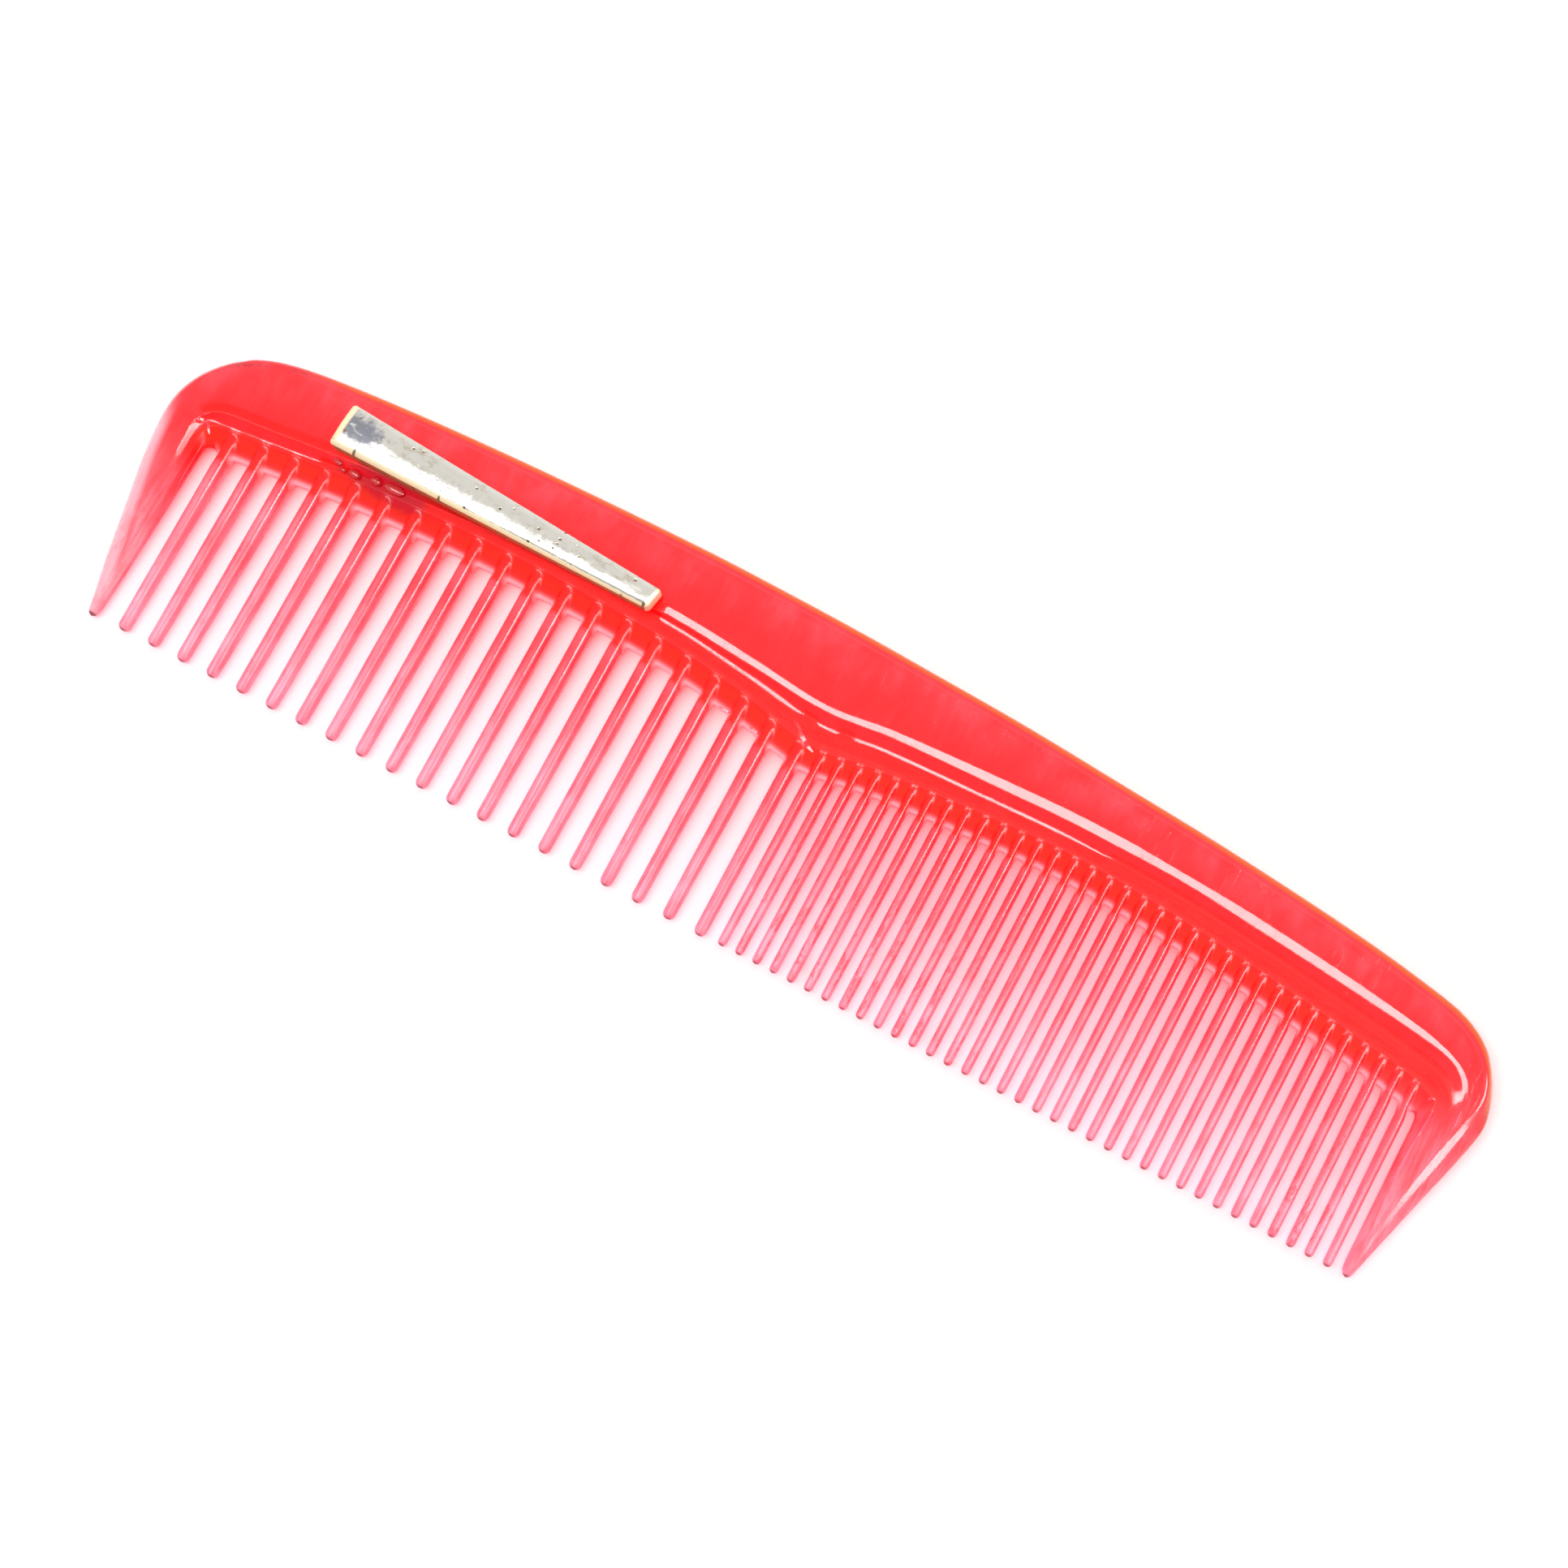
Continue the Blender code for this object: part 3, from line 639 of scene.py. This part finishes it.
def moulding_columns():
    """All the columns of the moulding, from the left guard's tip to the right guard's."""
    table = smooth_rows(SECTIONS, TABLE_STEPS)
    inner_x = table[:, INNER_X]
    first_edge = TEETH[0][0] - TEETH[0][1] / 2
    last_edge = TEETH[-1][0] + TEETH[-1][1] / 2
    top_start = TABLE_STEPS * LEFT_END_ROWS
    top_end = TABLE_STEPS * (len(SECTIONS) - RIGHT_END_ROWS)
    columns = []

    def upright_at(x):
        return float(smooth_step((x - first_edge + UPRIGHT_FADE) / UPRIGHT_FADE)
                     * smooth_step((last_edge + UPRIGHT_FADE - x) / UPRIGHT_FADE))

    def add(section, x, tooth=None, u=0.0):
        columns.append(Column(section, tooth, u, upright_at(x), corner_drop(x)))

    def add_top(x, *tooth):
        add([np.interp(x, inner_x[top_start:top_end], column)
             for column in table[top_start:top_end].T], x, *tooth)

    on_left = [row for row, x in zip(table, inner_x) if x < first_edge - GUARD_GAP]
    for row in on_left[::GUARD_SKIP]:
        add(row, row[INNER_X])
    for k, (x, root_width, _, _, _, sides) in enumerate(TEETH):
        for j in range(sides + 1):
            u = math.sin(math.pi * (j / sides - 0.5))
            add_top(x + u * root_width / 2, k, round(u, 9))
        if k + 1 < len(TEETH):
            start = x + root_width / 2
            stop = TEETH[k + 1][0] - TEETH[k + 1][1] / 2
            for place in COARSE_GAP_PLACES if k + 1 < COARSE_TEETH else FINE_GAP_PLACES:
                add_top(start + place * (stop - start))
    on_right = [row for i, row in enumerate(table) if i >= top_end - TABLE_STEPS
                and (row[INNER_X] > last_edge + GUARD_GAP or i > top_end)]
    for row in on_right[::-GUARD_SKIP][::-1]:
        add(row, row[INNER_X])
    return columns


def tooth_rows(column):
    """The points of a tooth's column below the gap's end, down to its rounded tip."""
    tooth = TEETH[column.tooth]
    x, root_width, tip_width, tip_y, _, _ = tooth
    start = column.inner[1] - column.corner
    tip = tip_width / 2
    turn = np.linspace(0, math.pi / 2, TIP_ROWS + 1)[1:-1]
    y = np.concatenate([np.linspace(start, tip_y + tip, TOOTH_ROWS + 1)[1:],
                        tip_y + tip - tip * np.sin(turn)])
    width = np.interp(y, (tip_y + tip, start), (tip_width, root_width))
    width[TOOTH_ROWS:] *= np.cos(turn)
    height = np.zeros_like(y)
    if column.inside:
        height = tooth_height(tooth, column.root_y, column.u, y)
    return np.column_stack([x + column.u * width / 2, y, height])


def set_marks(vert, layers, marks):
    for layer, mark in zip(layers, marks):
        vert[layer] = mark


def add_facets(bm, layers):
    """Narrow facets on the face, each a keeled bar that tapers to its ends."""
    face = BVHTree.FromBMesh(bm)
    down = Vector((0, 0, -1))
    for half, (axis, rise), *points in FACETS:
        points = np.array(points)
        reach = np.append(0.0, np.cumsum(np.linalg.norm(np.diff(points, axis=0), axis=1)))
        shares = np.linspace(0, 1, 2 + int(reach[-1] / FACET_STEP))
        places = np.stack([np.interp(shares * reach[-1], reach, c) for c in points.T], axis=1)
        feet = [face.ray_cast(comb_to_row((*place, FACET_RAY)), down)[0] for place in places]
        ways = np.gradient(np.array(feet), axis=0)
        rows = []
        for share, foot, way in zip(shares, feet, ways):
            size = float(half * MM * (1 - abs(2 * share - 1) ** FACET_TAPER * FACET_NARROWING))
            way /= np.linalg.norm(way[:2])
            side = Vector((-way[1], way[0], 0))
            turned = math.copysign(max(abs(side[axis]), FACET_TURN_LEAST), side[axis])
            steepness = (rise - way[2] * way[axis]) / turned
            side = size * (side + Vector((0, 0, steepness)))
            edges = [foot + step * side for step in (1, -1)]
            sunk = max((face.ray_cast(edge - down * FACET_RAY * MM, down)[0] - edge).z
                       for edge in edges)
            lift = -down * (max(sunk, 0.0) + FACET_LIFT * MM)
            keel = foot + down * FACET_DEPTH * MM
            row = [bm.verts.new(point) for point in (edges[0] + lift, edges[1] + lift, keel)]
            for vert in row:
                set_marks(vert, layers, FACET_MARKS)
            rows.append(row)
        for a, b in zip(rows, rows[1:]):
            for i in range(3):
                bm.faces.new((a[i], a[i - 2], b[i - 2], b[i]))
                if i != 2:
                    bm.edges.get((a[i], b[i])).smooth = False
        bm.faces.new(rows[0])
        bm.faces.new(rows[-1][::-1])


def make_moulding():
    """The whole comb as one closed mesh: a front half and its mirror image."""
    columns = moulding_columns()
    lines = []
    for column in columns:
        line = column.body_rows()
        if column.tooth is not None:
            line = np.vstack([line, tooth_rows(column)])
        lines.append(line)
    body_count = len(columns[0].body_rows())

    bm = bmesh.new()
    layers = [bm.verts.layers.float.new(name) for name in MARKS]
    front, back = [], []
    for column, line in zip(columns, lines):
        row_front, row_back = [], []
        for i, (x, y, w) in enumerate(line):
            shared = i == 0 or (i >= body_count - 1 and not column.inside)
            vert = bm.verts.new(comb_to_row((x, y, 0.0 if shared else w)))
            row_front.append(vert)
            row_back.append(vert if shared else bm.verts.new(comb_to_row((x, y, -w))))
            marks = column.marks((x, y), i < body_count)
            for end in {row_front[-1], row_back[-1]}:
                set_marks(end, layers, marks)
        front.append(row_front)
        back.append(row_back)

    for k in range(len(columns) - 1):
        same = columns[k].tooth is not None and columns[k].tooth == columns[k + 1].tooth
        count = len(lines[k]) if same else body_count
        for i in range(count - 1):
            bm.faces.new((front[k][i], front[k][i + 1], front[k + 1][i + 1], front[k + 1][i]))
            bm.faces.new((back[k][i], back[k + 1][i], back[k + 1][i + 1], back[k][i + 1]))
    for number, (x, _, _, tip_y, _, sides) in enumerate(TEETH):
        pole = bm.verts.new(comb_to_row((x, tip_y, 0.0)))
        start = next(i for i, column in enumerate(columns) if column.tooth == number)
        for k in range(start, start + sides):
            bm.faces.new((front[k][-1], pole, front[k + 1][-1]))
            bm.faces.new((back[k][-1], back[k + 1][-1], pole))
    for k, flip in ((0, 1), (-1, -1)):
        ring = front[k] + back[k][-2:0:-1]
        bm.faces.new(ring[::flip])
    add_facets(bm, layers)
    return add_piece("comb_moulding", bm)


def on_clip(ends, along):
    """A measure of the clip at a place along it, from its values at both ends."""
    return ends[0] + (ends[1] - ends[0]) * (along / CLIP_LENGTH)


def clip_ring(inset, drop, share=1.0):
    """A ring of the clip's plan, inset from its edge, at a share of the height there.

    Each point is along, across (from the clip's middle line) and up from the plastic.
    The height is the crown's, less the drop.
    """
    corner = max(CLIP_CORNER - inset, CLIP_CORNER_LEAST)
    outline = []

    def edge_half(along):
        return on_clip(CLIP_WIDTH, along) / 2 - inset

    turn = np.linspace(0, math.pi / 2, CLIP_CORNER_STEPS + 1)[1:-1]
    for side in (-1, 1):
        along = np.linspace(inset + corner, CLIP_LENGTH - inset - corner, CLIP_EDGE_STEPS)
        along = along if side < 0 else along[::-1]
        outline += [(a, side * edge_half(a)) for a in along]
        end_along = CLIP_LENGTH - inset if side < 0 else inset
        half = edge_half(end_along)
        outline += [(end_along + side * corner * (1 - math.sin(t)),
                     side * (half - corner * (1 - math.cos(t)))) for t in turn]
        across = np.linspace(half - corner, -(half - corner), CLIP_END_STEPS)
        outline += [(end_along, side * a) for a in across]
        outline += [(end_along + side * corner * (1 - math.cos(t)),
                     -side * (half - corner * (1 - math.sin(t)))) for t in turn]
    return [(a, c, share * (clip_top(a, c) - drop)) for a, c in outline]


def clip_top(along, across):
    """The height of the clip's two-faced crown above the plastic."""
    away = math.sqrt(across ** 2 + CLIP_RIDGE ** 2) - CLIP_RIDGE
    return on_clip(CLIP_HEIGHT, along) - CLIP_FACET_SLOPE * away


def clip_to_comb(along, across, up):
    """A point of the clip in the comb's frame. Its ends are slightly slanted."""
    half = on_clip(CLIP_WIDTH, along) / 2
    slant = on_clip(CLIP_SLANT, along)
    y = on_clip(CLIP_Y, along) + across
    base = on_clip(CLIP_GAP, along)
    return CLIP_X[0] + along + slant * across / half, y, half_wedge(y) + base + up


def make_clip():
    """The clip as a closed sheet: outer skin, lower edge and inner skin."""
    bm = bmesh.new()
    layers = [bm.verts.layers.float.new(name) for name in ("along", "across")]

    def add_ring(points):
        row = []
        for a, c, up in points:
            row.append(bm.verts.new(comb_to_row(clip_to_comb(a, c, up))))
            set_marks(row[-1], layers, (a, c / (on_clip(CLIP_WIDTH, a) / 2)))
        return row

    skins = []
    for wall in (0.0, CLIP_WALL):
        rings = []
        for share in np.linspace(0, 1, CLIP_WALL_RINGS + 1)[:-1]:
            rings.append(clip_ring(wall, wall + CLIP_BEVEL_DROP, share))
        for turn in np.linspace(0, math.pi / 2, CLIP_BEVEL_RINGS + 1):
            inset = CLIP_BEVEL * (1 - math.cos(turn))
            drop = CLIP_BEVEL_DROP * (1 - math.sin(turn))
            rings.append(clip_ring(wall + inset, wall + drop))
        edge = rings[-1]
        for t in np.linspace(0, 1, CLIP_CROWN_RINGS + 1)[1:]:
            ring = []
            for a, c, _ in edge:
                half_here = CLIP_WIDTH[int(a > CLIP_LENGTH / 2)] / 2
                middle = min(max(a, half_here), CLIP_LENGTH - half_here)
                a_in, c_in = a + (middle - a) * t, c * (1 - t)
                ring.append((a_in, c_in, clip_top(a_in, c_in) - wall))
            rings.append(ring)
        skins.append([add_ring(ring) for ring in rings])
    count = len(skins[0][0])
    for rows in (*skins, [skin[0] for skin in skins]):
        for low, high in zip(rows, rows[1:]):
            for i in range(count):
                j = (i + 1) % count
                bm.faces.new((low[i], low[j], high[j], high[i]))
    for rows in skins:
        bmesh.ops.remove_doubles(bm, verts=rows[-1], dist=TINY)
    return add_piece("clip_sheet", bm)


def add_piece(name, bm):
    """A smooth-shaded object from a mesh under construction."""
    bmesh.ops.recalc_face_normals(bm, faces=bm.faces)
    for face in bm.faces:
        face.smooth = True
    mesh = bpy.data.meshes.new(name)
    bm.to_mesh(mesh)
    bm.free()
    obj = bpy.data.objects.new(name, mesh)
    bpy.context.scene.collection.objects.link(obj)
    return obj


class Nodes:
    """Short ways to add and join a material's nodes."""

    def __init__(self, tree):
        self.tree = tree

    def add(self, kind, inputs=None, **settings):
        node = self.tree.nodes.new(kind)
        for name, value in settings.items():
            setattr(node, name, value)
        for name, value in (inputs or {}).items():
            if isinstance(value, bpy.types.NodeSocket):
                self.tree.links.new(value, node.inputs[name])
            else:
                node.inputs[name].default_value = value
        return node

    def attribute(self, name):
        return self.add("ShaderNodeAttribute", attribute_name=name).outputs["Fac"]

    def math(self, operation, first, *others, clamp=False):
        """One operation over all the values, from left to right."""
        for other in others:
            first = self.add("ShaderNodeMath", {0: first, 1: other}, operation=operation,
                             use_clamp=clamp).outputs[0]
        return first

    def times(self, *values):
        return self.math("MULTIPLY", *values)

    def plus(self, *values):
        return self.math("ADD", *values)

    def most(self, *values, clamp=False):
        return self.math("MAXIMUM", *values, clamp=clamp)

    def remap(self, value, low, high, to_low=0.0, to_high=1.0, smooth=True):
        node = self.add("ShaderNodeMapRange",
                        {"Value": value, "From Min": low, "From Max": high,
                         "To Min": to_low, "To Max": to_high},
                        interpolation_type="SMOOTHSTEP" if smooth else "LINEAR")
        return node.outputs["Result"]

    def region(self, measures, steps):
        return self.times(*(self.remap(measures[name], *span) for name, *span in steps))

    def mix(self, share, a, b):
        a, b = ((*c, 1.0) if isinstance(c, tuple) else c for c in (a, b))
        return self.add("ShaderNodeMix", {0: share, 6: a, 7: b}, data_type="RGBA").outputs[2]

    def noise(self, place, name):
        stretch, scale, detail, roughness, *more = NOISES[name]
        if stretch:
            shift, turn = more or (0.0, 0.0)
            place = self.scaled(place, stretch, (shift, 0.0, 0.0), (0.0, 0.0, turn))
        return self.add("ShaderNodeTexNoise", {"Vector": place, "Scale": scale, "Detail": detail,
                                               "Roughness": roughness}).outputs["Fac"]

    def cells(self, place, stretch, scale):
        return self.add("ShaderNodeTexVoronoi", {"Vector": self.scaled(place, stretch),
                                                 "Scale": scale}).outputs["Distance"]

    def scaled(self, vector, scale, location=(0.0, 0.0, 0.0), rotation=(0.0, 0.0, 0.0)):
        node = self.add("ShaderNodeMapping", {"Vector": vector, "Scale": scale,
                                              "Location": location, "Rotation": rotation})
        return node.outputs["Vector"]

    def bump(self, height, strength, distance, **under):
        return self.add("ShaderNodeBump", {"Strength": strength, "Distance": distance * MM,
                                           "Height": height, **under}).outputs["Normal"]

    def principled(self, inputs):
        return self.add("ShaderNodeBsdfPrincipled", inputs)

    def finish(self, **ends):
        """Ends the material with its Surface and, where it has one, its Volume."""
        self.add("ShaderNodeOutputMaterial", {name: end.outputs[0] for name, end in ends.items()})


def new_material(name):
    material = bpy.data.materials.new(name)
    material.use_nodes = True
    material.node_tree.nodes.clear()
    return material, Nodes(material.node_tree)


def comb_millimetres(nodes):
    """The row frame's coordinates in millimetres, from the comb's left end and tips."""
    place = nodes.add("ShaderNodeTexCoord").outputs["Object"]
    return nodes.scaled(place, (1 / MM, 1 / MM, 1 / MM), (-SHIFT[0], -SHIFT[1], 0.0))


def elliptic_mask(nodes, parts, cloud, middle, reach, ragged):
    """A patch of that middle and reach in millimetres, with a ragged soft border."""
    from_middle = [nodes.times(nodes.math("SUBTRACT", parts[axis], place), 1 / size)
                   for axis, place, size in zip("XY", middle, reach)]
    away = nodes.math("SQRT", nodes.plus(*(nodes.times(way, way) for way in from_middle)), 0.0)
    wander = nodes.times(nodes.math("SUBTRACT", cloud, 0.5), ragged)
    return nodes.remap(nodes.plus(away, wander), *PATCH_BORDER)


def make_red_plastic():
    """Clear plastic tinted through its depth, a little milky, most of all in the teeth, with
    painted shade, sheen, glow and highlights in places.
    """
    material, nodes = new_material("red_plastic_look")
    place = comb_millimetres(nodes)
    parts = nodes.add("ShaderNodeSeparateXYZ", {"Vector": place}).outputs
    at = {name: nodes.attribute(name) for name in MARKS}
    for name in ("streaks", "clouds", "dirt", "scuffs", "hatching", "hatch_places"):
        at[name] = nodes.noise(place, name)
    at.update(x=parts["X"], y=parts["Y"])
    at.update({name: nodes.region(at, steps) for name, steps in REGIONS.items()})

    # Painted shade: dark crescents at the tooth tips, joined to the painted shade along the left
    # end's edge
    tip_y = nodes.remap(parts["X"], *TIP_CHANGE, COARSE_TIP_Y, FINE_TIP_Y)
    tip_shade = nodes.remap(nodes.math("SUBTRACT", parts["Y"], tip_y), *TIP_SHADE_RISE)
    at["edge_shade"] = nodes.most(at["edge_shade"], nodes.times(tip_shade, TIP_SHADE))
    # Painted shadow under the clip, also standing for a film of glue
    at["clip_shadow_and_glue"] = elliptic_mask(nodes, parts, at["clouds"], *CLIP_SHADOW_AND_GLUE)
    at["corner"] = elliptic_mask(nodes, parts, at["clouds"], *LEFT_CORNER)
    stained = nodes.most(at["stained_middle"], at["stained_right"], STAINED_LEAST)
    at["stain"] = nodes.times(at["stain"], stained)

    milky = nodes.remap(parts["Y"], TEETH_CLEAR_Y, TEETH_MILKY_Y, smooth=False)
    milky = nodes.most(nodes.math("POWER", milky, TEETH_MILKY_POWER),
                       nodes.times(at["root"], PALE_ROOT))
    haze = nodes.times(nodes.remap(milky, 0.0, 1.0, HAZE_SPINE, HAZE_TIPS), at["texture"])
    # Painted highlight down the middle of the teeth
    haze = nodes.plus(haze, nodes.times(at["crest_highlight"], milky, HAZE_CREST_HIGHLIGHT))
    haze = nodes.most(haze, *(nodes.times(at[name], share) for name, share in HAZES_UNDER_LAND))
    # Painted sheen near the top edge
    haze = nodes.plus(haze, nodes.times(at["land_sheen"], HAZE_LAND_SHEEN))
    haze = nodes.most(haze, *(nodes.times(at[name], share) for name, share in HAZES), clamp=True)
    colour = nodes.mix(milky, SPINE_COLOUR, TIP_COLOUR)
    for name, tint, *share in COLOURS:
        colour = nodes.mix(nodes.times(at[name], *share), colour, tint)

    roughness = nodes.plus(nodes.region(at, (ROUGHNESS_STEP,)),
                           nodes.remap(at["polish"], 1.0, 0.0, 0.0, DULL_ROUGHNESS))
    waves = nodes.bump(nodes.noise(place, "waves"), *WAVE_RELIEF)
    glass = nodes.principled(
        {"Base Color": colour, "Roughness": roughness, "IOR": PLASTIC_IOR,
         "Transmission Weight": nodes.math("SUBTRACT", 1.0, haze),
         "Coat Weight": nodes.times(at["polish"], COAT_WEIGHT),
         "Coat Roughness": COAT_ROUGHNESS, "Coat IOR": COAT_IOR,
         "Normal": nodes.bump(at["hatch"], *HATCH_RELIEF, Normal=waves)})
    clear = nodes.add("ShaderNodeBsdfTransparent", {"Color": SHADOW_TINT})
    shadow = nodes.add("ShaderNodeLightPath").outputs["Is Shadow Ray"]
    surface = nodes.add("ShaderNodeMixShader", {0: shadow, 1: glass.outputs[0],
                                                2: clear.outputs[0]})
    tint = nodes.add("ShaderNodeVolumeAbsorption",
                     {"Color": PLASTIC_TINT, "Density": PLASTIC_DENSITY})
    nodes.finish(Surface=surface, Volume=tint)
    return material


def make_worn_metal():
    """Grey-white plating, worn to brass along its edges, with dark pits; smudges and painted shade
    darken its upper half, and painted shade its side walls.
    """
    material, nodes = new_material("worn_metal_look")
    place = comb_millimetres(nodes)
    parts = nodes.add("ShaderNodeSeparateXYZ", {"Vector": place}).outputs
    across = nodes.attribute("across")
    at = {name: nodes.noise(place, name) for name in ("mottle", "speck_places", "smudge")}
    wander = nodes.times(nodes.math("SUBTRACT", nodes.noise(place, "fine"), 0.5), BORDER_WANDER)
    at.update(across=across, away=nodes.math("ABSOLUTE", across, 0.0),
              edge=nodes.plus(nodes.times(across, -1.0), wander),
              place=nodes.plus(nodes.attribute("along"), wander),
              specks=nodes.cells(place, *SPECKS), nicks=nodes.cells(place, *NICKS))
    at.update({name: nodes.region(at, (step,)) for name, step in METAL_STEPS.items()})

    brassy = nodes.most(at["brassy"], at["at_start"], at["at_end"])
    pit = nodes.most(nodes.times(at["speck"], at["speck_place"]),
                     nodes.times(at["nick"], at["nick_place"]))
    patch = elliptic_mask(nodes, parts, at["mottle"], *DULL_PATCH)
    patch = nodes.math("SUBTRACT", patch, nodes.times(at["fleck"], FLECK), clamp=True)
    colour = nodes.mix(nodes.times(at["smudge_and_shade"], at["shaded_upper_half"], SMUDGE_AND_SHADE), PLATING, SMUDGED_SHADE)
    for share, tint in ((patch, DULLED), (brassy, BRASS), (at["shaded_walls"], SHADED_WALL_BROWN), (pit, DIRT)):
        colour = nodes.mix(share, colour, tint)
    height = nodes.math("SUBTRACT", nodes.noise(place, "metal_waves"), pit)
    height = nodes.plus(height, nodes.times(patch, at["mottle"]))
    nodes.finish(Surface=nodes.principled(
        {"Base Color": colour,
         "Metallic": nodes.math("SUBTRACT", 1.0, nodes.times(brassy, BRASS_UNMETALLIC)),
         "Roughness": nodes.plus(at["roughness"], nodes.times(patch, PATCH_ROUGH),
                                 nodes.times(brassy, BRASS_ROUGH)),
         "Normal": nodes.bump(height, *METAL_RELIEF)}))
    return material


def make_post_brass():
    """Plain brass with a little tarnish, for the hidden post."""
    material, nodes = new_material("post_brass")
    cloud = nodes.noise(comb_millimetres(nodes), "tarnish")
    nodes.finish(Surface=nodes.principled(
        {"Base Color": nodes.mix(cloud, (0.62, 0.45, 0.2), (0.4, 0.27, 0.12)),
         "Metallic": 1.0, "Roughness": nodes.remap(cloud, 0.3, 0.7, 0.25, 0.5)}))
    return material


def make_glue():
    """Dried glue, dark red and glossy."""
    material, nodes = new_material("dried_glue")
    cloud = nodes.noise(comb_millimetres(nodes), "glue_clouds")
    nodes.finish(Surface=nodes.principled(
        {"Base Color": nodes.mix(cloud, (0.55, 0.01, 0.02), (0.85, 0.05, 0.05)),
         "Roughness": nodes.remap(cloud, 0.3, 0.7, 0.04, 0.12),
         "Coat Weight": 1.0, "Coat Roughness": 0.03}))
    return material


def make_glue_drops():
    """Low beads of glue on the plastic, beside the clip's wide end."""
    bm = bmesh.new()
    for x, y, half_x, half_y, high in GLUE_DROPS:
        base = half_wedge(y) - GLUE_SUNK
        rows = []
        for turn in np.linspace(0, math.pi / 2, GLUE_ROWS)[:-1]:
            flat, up = math.cos(turn), math.sin(turn)
            rows.append([bm.verts.new(comb_to_row((x + half_x * flat * math.cos(a),
                                                   y + half_y * flat * math.sin(a),
                                                   base + (high + GLUE_SUNK) * up)))
                         for a in np.arange(GLUE_SIDES) / GLUE_SIDES * 2 * math.pi])
        pole = bm.verts.new(comb_to_row((x, y, base + high + GLUE_SUNK)))
        for low, above in zip(rows, rows[1:]):
            for i in range(GLUE_SIDES):
                j = (i + 1) % GLUE_SIDES
                bm.faces.new((low[i], low[j], above[j], above[i]))
        for i in range(GLUE_SIDES):
            bm.faces.new((rows[-1][i], rows[-1][(i + 1) % GLUE_SIDES], pole))
        bm.faces.new(rows[0][::-1])
    return add_piece("glue_drops", bm)


def make_floor():
    """A plain white floor, just under the comb's back."""
    bm = bmesh.new()
    bmesh.ops.create_grid(bm, x_segments=1, y_segments=1, size=FLOOR_SIZE / 2,
                          matrix=Matrix.Translation((0, 0, -FLOOR_GAP)))
    floor = add_piece("floor", bm)
    material, nodes = new_material("white_floor")
    nodes.finish(Surface=nodes.principled({"Base Color": (FLOOR_WHITE,) * 3 + (1.0,),
                                           "Roughness": 0.9, "Specular IOR Level": 0.1}))
    floor.data.materials.append(material)


def aim(obj, place, target, roll=0.0):
    """Puts a camera or lamp at place, looking at target, with +y up before its roll."""
    back = (Vector(place) - Vector(target)).normalized()
    side = Vector((0, 1, 0)).cross(back).normalized()
    up = back.cross(side)
    basis = Matrix((side, up, back)).transposed() @ Matrix.Rotation(roll, 3, "Z")
    obj.matrix_world = Matrix.Translation(place) @ basis.to_4x4()


def make_camera():
    data = bpy.data.cameras.new("camera")
    data.lens = CAMERA_LENS
    data.sensor_width = 36.0
    data.clip_start = 0.01
    camera = bpy.data.objects.new("camera", data)
    bpy.context.scene.collection.objects.link(camera)
    tilt = Matrix.Rotation(TILT, 4, "X")
    aim(camera, CAMERA_PLACE, CAMERA_AIM, math.radians(CAMERA_ROLL))
    turned = tilt @ camera.matrix_world
    turned.translation = Vector([float(v) for v in comb_to_row(CAMERA_PLACE)])
    camera.matrix_world = turned
    bpy.context.scene.camera = camera


def add_lamp(name, place, target, size, power):
    """A soft rectangular lamp. Places are in millimetres in the comb's frame."""
    data = bpy.data.lights.new(name, "AREA")
    data.shape = "RECTANGLE"
    data.size, data.size_y = size[0] * MM, size[1] * MM
    data.energy = power
    lamp = bpy.data.objects.new(name, data)
    bpy.context.scene.collection.objects.link(lamp)
    aim(lamp, comb_to_row(place).tolist(), comb_to_row(target).tolist())
    return lamp


def make_light():
    """A bright studio, dimmer on the side of the tooth tips, and one long soft lamp."""
    world = bpy.data.worlds.new("studio")
    bpy.context.scene.world = world
    world.use_nodes = True
    nodes = Nodes(world.node_tree)
    place = nodes.add("ShaderNodeTexCoord").outputs["Generated"]
    parts = nodes.add("ShaderNodeSeparateXYZ", {"Vector": place}).outputs
    level = nodes.plus(nodes.times(parts["Z"], WORLD_RISE), nodes.times(parts["Y"], WORLD_LEAN),
                       WORLD_LEVEL)
    background = world.node_tree.nodes["Background"]
    background.inputs["Color"].default_value = (1.0, 1.0, 1.0, 1.0)
    nodes.tree.links.new(level, background.inputs["Strength"])
    add_lamp("long_lamp", LAMP_PLACE, LAMP_TARGET, LAMP_SIZE, LAMP_POWER)
    card = add_lamp("right_card", CARD_PLACE, LAMP_TARGET, CARD_SIZE, CARD_POWER)
    card.visible_diffuse = False
    card.visible_transmission = False
    view = bpy.context.scene.view_settings
    view.view_transform = "Standard"
    view.look = "None"


for kind in ("max", "transmission", "glossy"):
    setattr(bpy.context.scene.cycles, kind + "_bounces", LIGHT_BOUNCES)
make_camera()
make_light()
make_floor()

moulding = make_moulding()
moulding.data.materials.append(make_red_plastic())
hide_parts("comb_body")
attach(moulding, "root")

clip = make_clip()
clip.data.materials.append(make_worn_metal())
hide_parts("pocket_clip")
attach(clip, "root")

glue = make_glue_drops()
glue.data.materials.append(make_glue())
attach(glue, "root")

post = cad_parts["clip_post"]
post.data.materials.clear()
post.data.materials.append(make_post_brass())
